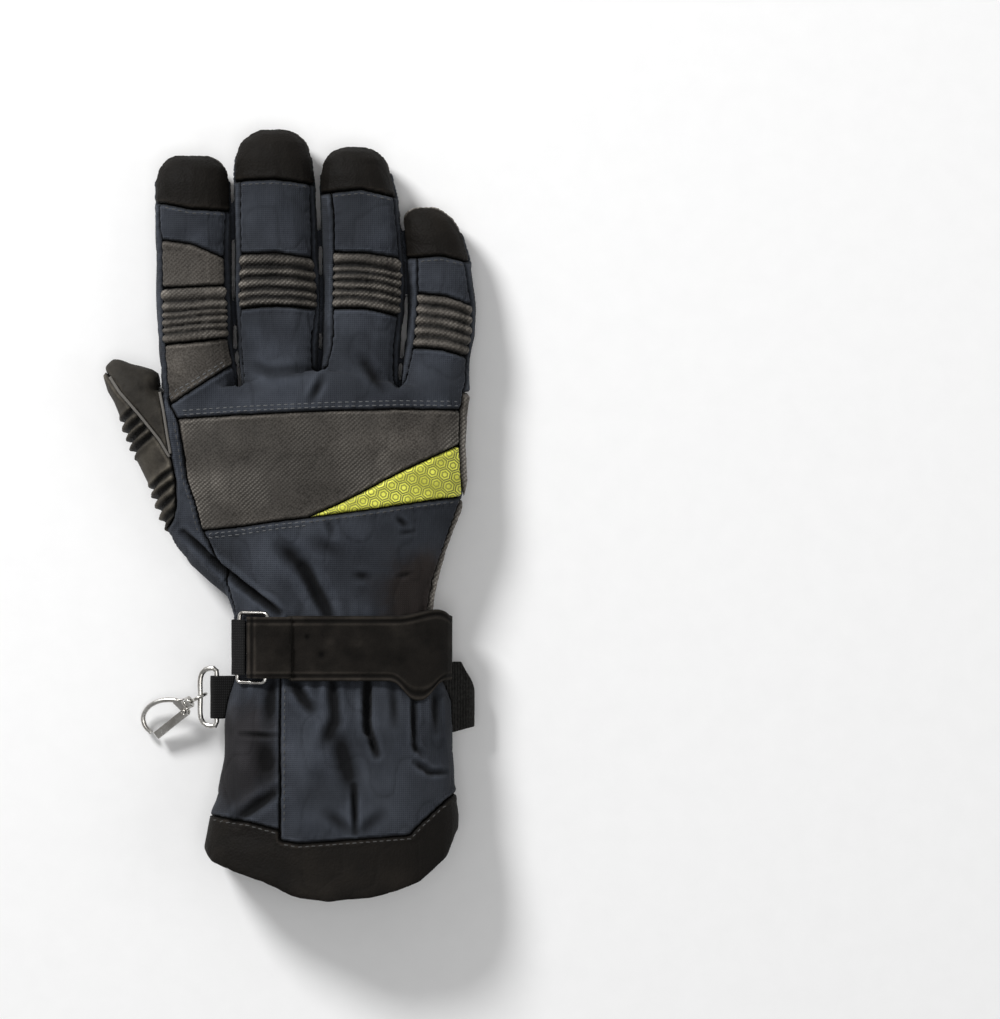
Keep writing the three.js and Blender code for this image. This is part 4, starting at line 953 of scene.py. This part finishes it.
def strap_shade(points, edge, end):
    """Painted highlight on the folded edges along the strap and across its turned end, painted shade in
    the lines between them and in the dents, and some random tone.
    """
    shade = np.full(len(points), 0.05)
    for away in (edge, end):
        shade += 0.7 * np.exp(-(((away - 2.3) / 0.5) ** 2))
        shade -= 0.6 * np.exp(-(((away - 1.0) / 0.6) ** 2)) + 0.45 * np.exp(-(((away - 3.6) / 0.6) ** 2))
    for x, y, size in STRAP_DENTS:
        shade += np.exp(-(((points[:, 0] - x) ** 2 + (points[:, 1] - y) ** 2) / size**2))
    return shade + 0.25 * value_noise(points, 6.0, 14)


def build_strap():
    """The closure strap: its lower edge droops near the outer side, and its end lifts."""
    piece = smooth_solid("wrist_strap", STRAP_VOXEL, STRAP_ROUNDS, "look_wrist_strap")
    points = read_mesh(piece.data)
    x, y = points[:, 0].copy(), points[:, 1].copy()
    top = smooth_step(points[:, 2], 20, 30)
    edge = np.minimum(y - STRAP_BACK, STRAP_FRONT - y)
    end = x - points[:, 0].min()
    shade = strap_shade(points, edge, end)
    wrist = np.interp(-y, WRIST_SIDE["below"], WRIST_SIDE["x"])
    points[:, 0] += (STRAP_END - wrist) * smooth_step(x, 34, 50)
    points[:, 2] -= STITCHED_STEP * smooth_step(x, -25, -13) * (x < -12) * top
    droop = DROOP_DEPTH * np.exp(-np.abs((x - DROOP_MIDDLE) / DROOP_REACH) ** 2.6)
    droop *= smooth_step(-y, 78, 90.5)
    lift = LIFT_RISE * smooth_step(x, 34, 50) * smooth_step(y, -76, -64)
    points[:, 1] += (lift - droop) * top
    points[:, 2] -= 0.7 * top * np.exp(-(((edge - 2.3) / 0.7) ** 2))
    dents = value_noise(points, 9.0, 11) * 0.5 + value_noise(points, 3.2, 12) * 0.14
    points[:, 2] += dents * top
    for dent_x, dent_y, size in STRAP_DENTS:
        points[:, 2] -= DENT_DEPTH * top * np.exp(-(((x - dent_x) ** 2 + (y - dent_y) ** 2) / size**2))
    write_points(piece.data, points)
    # Keeps the strap's painted shade and highlight for the suede
    store_painted_shade_and_highlight(piece.data, np.clip(NEUTRAL + (1 - NEUTRAL) * shade, 0, 1))
    dress(piece, "black_suede", "wrist_strap")


TAB_LEAN = 6.0
TAB_RISE = 3.9


def skew_tab(points):
    """The pull tab hangs askew: its far corner leans in and its free end rises."""
    share = np.clip((points[:, 0] - 52) / 14, 0, 1)
    lean = TAB_LEAN * share * smooth_step(points[:, 1], -95, -80)
    rise = TAB_RISE * share * smooth_step(-points[:, 1], 95, 114)
    points[:, 0] -= lean
    points[:, 1] += rise


def build_tapes():
    for node, finish in (("strap_loop", "webbing"), ("hook_tab", "webbing"), ("pull_tab", "hook_tape")):
        piece = smooth_solid(node, TAPE_VOXEL, TAPE_ROUNDS, "look_" + node)
        points = read_mesh(piece.data)
        if node == "pull_tab":
            skew_tab(points)
        points += value_noise(points, 5.0, 21)[:, None] * np.array([0.1, 0.1, 0.16])
        write_points(piece.data, points)
        dress(piece, finish, node)


def build_metal():
    bodies = {
        "strap_ring": "glove", "d_ring": "glove", "swivel_eye": "glove",
        "hook_body": "hook_body", "hook_gate": "hook_gate",
    }
    for node, body in bodies.items():
        voxel = GATE_VOXEL if node == "hook_gate" else METAL_VOXEL
        piece = smooth_solid(node, voxel, METAL_ROUNDS, "look_" + node)
        dress(piece, "nickel", node, body)


def surface_tree(pieces):
    """The pieces' faces together, to lay thread and piping on."""
    points, faces = [], []
    for piece in pieces:
        first = len(points)
        points.extend(vertex.co.copy() for vertex in piece.data.vertices)
        faces.extend([first + number for number in face.vertices] for face in piece.data.polygons)
    return BVHTree.FromPolygons(points, faces)


def resampled(corners, pitch):
    """Even places along a line in plan, and its direction at each."""
    corners = np.array(corners, float)
    steps = np.linalg.norm(np.diff(corners, axis=0), axis=1)
    run = np.concatenate([[0], np.cumsum(steps)])
    at = np.arange(pitch / 2, run[-1], pitch)
    places = np.stack([np.interp(at, run, corners[:, axis]) for axis in range(2)], axis=1)
    ahead = np.stack([np.interp(at + 0.8, run, corners[:, axis]) for axis in range(2)], axis=1)
    behind = np.stack([np.interp(at - 0.8, run, corners[:, axis]) for axis in range(2)], axis=1)
    direction = ahead - behind
    return places, direction / np.linalg.norm(direction, axis=1)[:, None]


def laid(surface, x, y):
    """The place straight below a point in plan, and the surface's normal there."""
    hit, normal, _, _ = surface.ray_cast(Vector((x * MM, y * MM, 0.09)), Vector((0, 0, -1)))
    return hit, normal


STITCH_PITCH = 2.9
STITCH_LENGTH = 2.1
STITCH_RADIUS = 0.26
STITCH_SIDES = 6
# Along a stitch: where each ring lies, its width, and how far it is sunk, as shares
STITCH_RINGS = [(-0.5, 0.35, 0.9), (-0.3, 1.0, 0.15), (0.3, 1.0, 0.15), (0.5, 0.35, 0.9)]

# Rows of thread on the back: a line in plan, and how far to its left each row lies
SEAMS = [
    {
        "line": [(-59, 22.0), (-34.4, 23.6), (4.3, 25.4), (34.4, 26.2), (59, 25.9)],
        "thread": "pale_thread", "rows": (1.6, 3.4),
    },
    {
        "line": [(-60.9, 21.5), (-58.9, 10.8), (-56.8, -4.3), (-53.8, -12.9), (-50.6, -25.5)],
        "thread": "dull_thread", "rows": (-1.9,),
    },
    {
        "line": [(-48.5, -26.1), (-34.4, -24.5), (-17.2, -21.9), (-5.2, -20.6)],
        "thread": "pale_thread", "rows": (-1.5, -3.2),
    },
    {
        "line": [(-5.2, -20.6), (23.6, -16.8), (46.4, -13.3), (60, -11.7)],
        "thread": "dull_thread", "rows": (-1.9,),
    },
    {
        "line": [(-64.0, 29.0), (-50.6, 36.5), (-38.5, 44.4)],
        "thread": "pale_thread", "rows": (1.6, 3.2),
    },
    {
        "line": [(-66.5, 114.5), (-55, 111.8), (-41.5, 111.4)],
        "thread": "dull_thread", "rows": (-1.7,),
    },
    {
        "line": [(-34.0, 124.2), (-19.0, 124.7), (-4.4, 123.1)],
        "thread": "dull_thread", "rows": (-1.7,),
    },
    {
        "line": [(5.6, 119.1), (18.0, 120.4), (31.6, 117.5)],
        "thread": "dull_thread", "rows": (-1.7,),
    },
    {
        "line": [(42.6, 91.2), (52.5, 92.0), (63.0, 89.5)],
        "thread": "dull_thread", "rows": (-1.7,),
    },
    {
        "line": [(-46, -148.4), (-30.1, -150.5), (-18, -153.7)],
        "thread": "dull_thread", "rows": (-1.5,),
    },
    {
        "line": [(-15, -158.4), (-8.6, -159.5), (15.0, -157.8), (38.7, -156.1)],
        "thread": "dull_thread", "rows": (-1.5,),
    },
    {
        "line": [(38.7, -156.1), (43.6, -151), (53.8, -141.9)],
        "thread": "dull_thread", "rows": (-1.5,),
    },
    {
        "line": [(-16.6, -93), (-16.6, -152)],
        "thread": "dull_thread", "rows": (1.9,),
    },
]

# Piping sewn into the thumb's two upper seams
PIPINGS = {
    "thumb_piping_outer": [(-90.5, 40.4), (-86.0, 33.5), (-77.4, 23.6), (-68.8, 12.9), (-64.0, 4.8)],
    "thumb_piping_inner": [(-68.9, 34.0), (-67.1, 25.8), (-65.4, 15.0), (-63.9, 6.5)],
}
PIPING_RADIUS = 0.6
PIPING_SUNK = 0.2
PIPING_SIDES = 8
PIPING_PITCH = 0.9
BESIDE_PIPING = 1.3


def ring_of(build, centre, side, up, radius, sides):
    """Points round a centre, in the plane of two directions."""
    ring = []
    for step in range(sides):
        angle = 2 * math.pi * step / sides
        out = side * math.cos(angle) + up * math.sin(angle)
        ring.append(build.verts.new(centre + out * radius))
    return ring


def join_rings(build, rings):
    """Faces from ring to ring, with both ends closed."""
    count = len(rings[0])
    for ring, after in zip(rings, rings[1:]):
        for step in range(count):
            beside = (step + 1) % count
            build.faces.new((ring[step], ring[beside], after[beside], after[step]))
    build.faces.new(list(reversed(rings[0])))
    build.faces.new(rings[-1])


def add_stitch(build, middle, direction, normal, length, radius):
    """A short fat thread that dips into the cloth at both ends."""
    side = normal.cross(direction).normalized()
    rings = []
    for share, width, sunk in STITCH_RINGS:
        centre = middle + direction * (share * length) - normal * (sunk * radius)
        rings.append(ring_of(build, centre, side, normal, radius * width, STITCH_SIDES))
    join_rings(build, rings)


THREADS = {"pale_thread": (0.120, 0.124, 0.130), "dull_thread": (0.062, 0.061, 0.060)}


def build_stitches(surface, name, colour):
    build = bmesh.new()
    for seam in SEAMS:
        if seam["thread"] != name:
            continue
        for row in seam["rows"]:
            places, directions = resampled(seam["line"], STITCH_PITCH)
            for (x, y), (along_x, along_y) in zip(places, directions):
                hit, normal = laid(surface, x - along_y * row, y + along_x * row)
                if hit is None or normal.z < 0.15:
                    continue
                direction = Vector((along_x, along_y, 0))
                direction = (direction - normal * direction.dot(normal)).normalized()
                add_stitch(build, hit, direction, normal, STITCH_LENGTH * MM, STITCH_RADIUS * MM)
    piece = finished(build, "stitches_" + name)
    piece.data.materials.append(thread(name, colour))
    dress(piece, "navy_cloth", None)


def finished(build, name):
    mesh = bpy.data.meshes.new(name)
    build.normal_update()
    build.to_mesh(mesh)
    build.free()
    mesh.polygons.foreach_set("use_smooth", np.ones(len(mesh.polygons), dtype=bool))
    piece = bpy.data.objects.new(name, mesh)
    bpy.context.scene.collection.objects.link(piece)
    return piece


def seam_heights(surface, places, directions):
    """How high a cord lies along a seam: on the higher edge beside it, evened out along the way."""
    heights = []
    for (x, y), (along_x, along_y) in zip(places, directions):
        beside = [
            laid(surface, x - along_y * aside, y + along_x * aside)[0]
            for aside in (-BESIDE_PIPING, 0, BESIDE_PIPING)
        ]
        heights.append(max((hit.z / MM for hit in beside if hit is not None), default=0.0))
    padded = np.pad(np.array(heights), 3, mode="edge")
    return np.convolve(padded, np.full(7, 1 / 7), mode="valid")


def build_piping(surface, name, route):
    places, directions = resampled(route, PIPING_PITCH)
    heights = seam_heights(surface, places, directions)
    build = bmesh.new()
    rings = []
    for (x, y), (along_x, along_y), height in zip(places, directions, heights):
        side = Vector((-along_y, along_x, 0))
        centre = Vector((x, y, height - PIPING_SUNK)) * MM
        rings.append(ring_of(build, centre, side, Vector((0, 0, 1)), PIPING_RADIUS * MM, PIPING_SIDES))
    join_rings(build, rings)
    bmesh.ops.recalc_face_normals(build, faces=build.faces)
    piece = finished(build, name)
    piece.data.materials.append(PIPING_LEATHER)
    dress(piece, "twill_leather", None)


# The floor and the lights are in metres, and the lights' power is in watts
FLOOR_SIZE = 6
FLOOR_LEVEL = -0.0004
LIGHTS = [
    {"name": "key", "place": (-1.1, 1.3, 1.25), "size": 0.6, "power": 44},
    {"name": "fill", "place": (1.5, -0.2, 1.1), "size": 1.0, "power": 4},
    {"name": "top", "place": (0.1, -0.3, 2.2), "size": 1.2, "power": 9},
]
LIGHT_TARGET = (0.0, 0.0, 0.02)
WORLD_STRENGTH = 0.31


def build_floor():
    bpy.ops.mesh.primitive_plane_add(size=FLOOR_SIZE, location=(0, 0, FLOOR_LEVEL))
    floor = bpy.context.object
    floor.name = "floor"
    material, tree = new_material("floor")
    speckle = noise_node(tree, place_of(tree), 90, 3)
    colour = mixed(tree, speckle, (0.86, 0.86, 0.86), (0.90, 0.90, 0.90))
    finish_material(tree, colour, 0.9, speckle, 0.02, specular=0.1)
    floor.data.materials.append(material)


def add_light(name, place, target, size, power):
    data = bpy.data.lights.new(name, "AREA")
    data.shape = "DISK"
    data.size = size
    data.energy = power
    light = bpy.data.objects.new(name, data)
    bpy.context.scene.collection.objects.link(light)
    light.location = place
    light.rotation_mode = "QUATERNION"
    light.rotation_quaternion = (Vector(target) - Vector(place)).to_track_quat("-Z", "Y")


def build_light():
    for light in LIGHTS:
        add_light(light["name"], light["place"], LIGHT_TARGET, light["size"], light["power"])
    world = bpy.data.worlds.new("studio")
    bpy.context.scene.world = world
    world.use_nodes = True
    world.node_tree.nodes["Background"].inputs["Color"].default_value = (1, 1, 1, 1)
    world.node_tree.nodes["Background"].inputs["Strength"].default_value = WORLD_STRENGTH


# The picture's size in pixels, what one pixel spans on the glove, and the pixel over the frame's origin
PHOTO_WIDTH = 1000
PHOTO_HEIGHT = 1019
PIXEL = 0.43
ORIGIN_COLUMN = 320
ORIGIN_ROW = 470
CAMERA_HEIGHT = 3000
GLOVE_MIDDLE = 20
SENSOR_WIDTH = 36


def build_camera():
    data = bpy.data.cameras.new("camera")
    camera = bpy.data.objects.new("camera", data)
    bpy.context.scene.collection.objects.link(camera)
    x = (PHOTO_WIDTH / 2 - ORIGIN_COLUMN) * PIXEL
    y = (ORIGIN_ROW - PHOTO_HEIGHT / 2) * PIXEL
    camera.location = (x * MM, y * MM, (CAMERA_HEIGHT + GLOVE_MIDDLE) * MM)
    data.sensor_width = SENSOR_WIDTH
    data.lens = data.sensor_width * CAMERA_HEIGHT / (PHOTO_HEIGHT * PIXEL)
    data.clip_start = 0.1
    data.clip_end = 20
    bpy.context.scene.camera = camera
    bpy.context.scene.view_settings.view_transform = "Standard"


shell_surface = surface_tree(build_shell())
for thread_name, thread_colour in THREADS.items():
    build_stitches(shell_surface, thread_name, thread_colour)
for piping_name, piping_route in PIPINGS.items():
    build_piping(shell_surface, piping_name, piping_route)
build_strap()
build_tapes()
build_metal()
build_floor()
build_light()
build_camera()
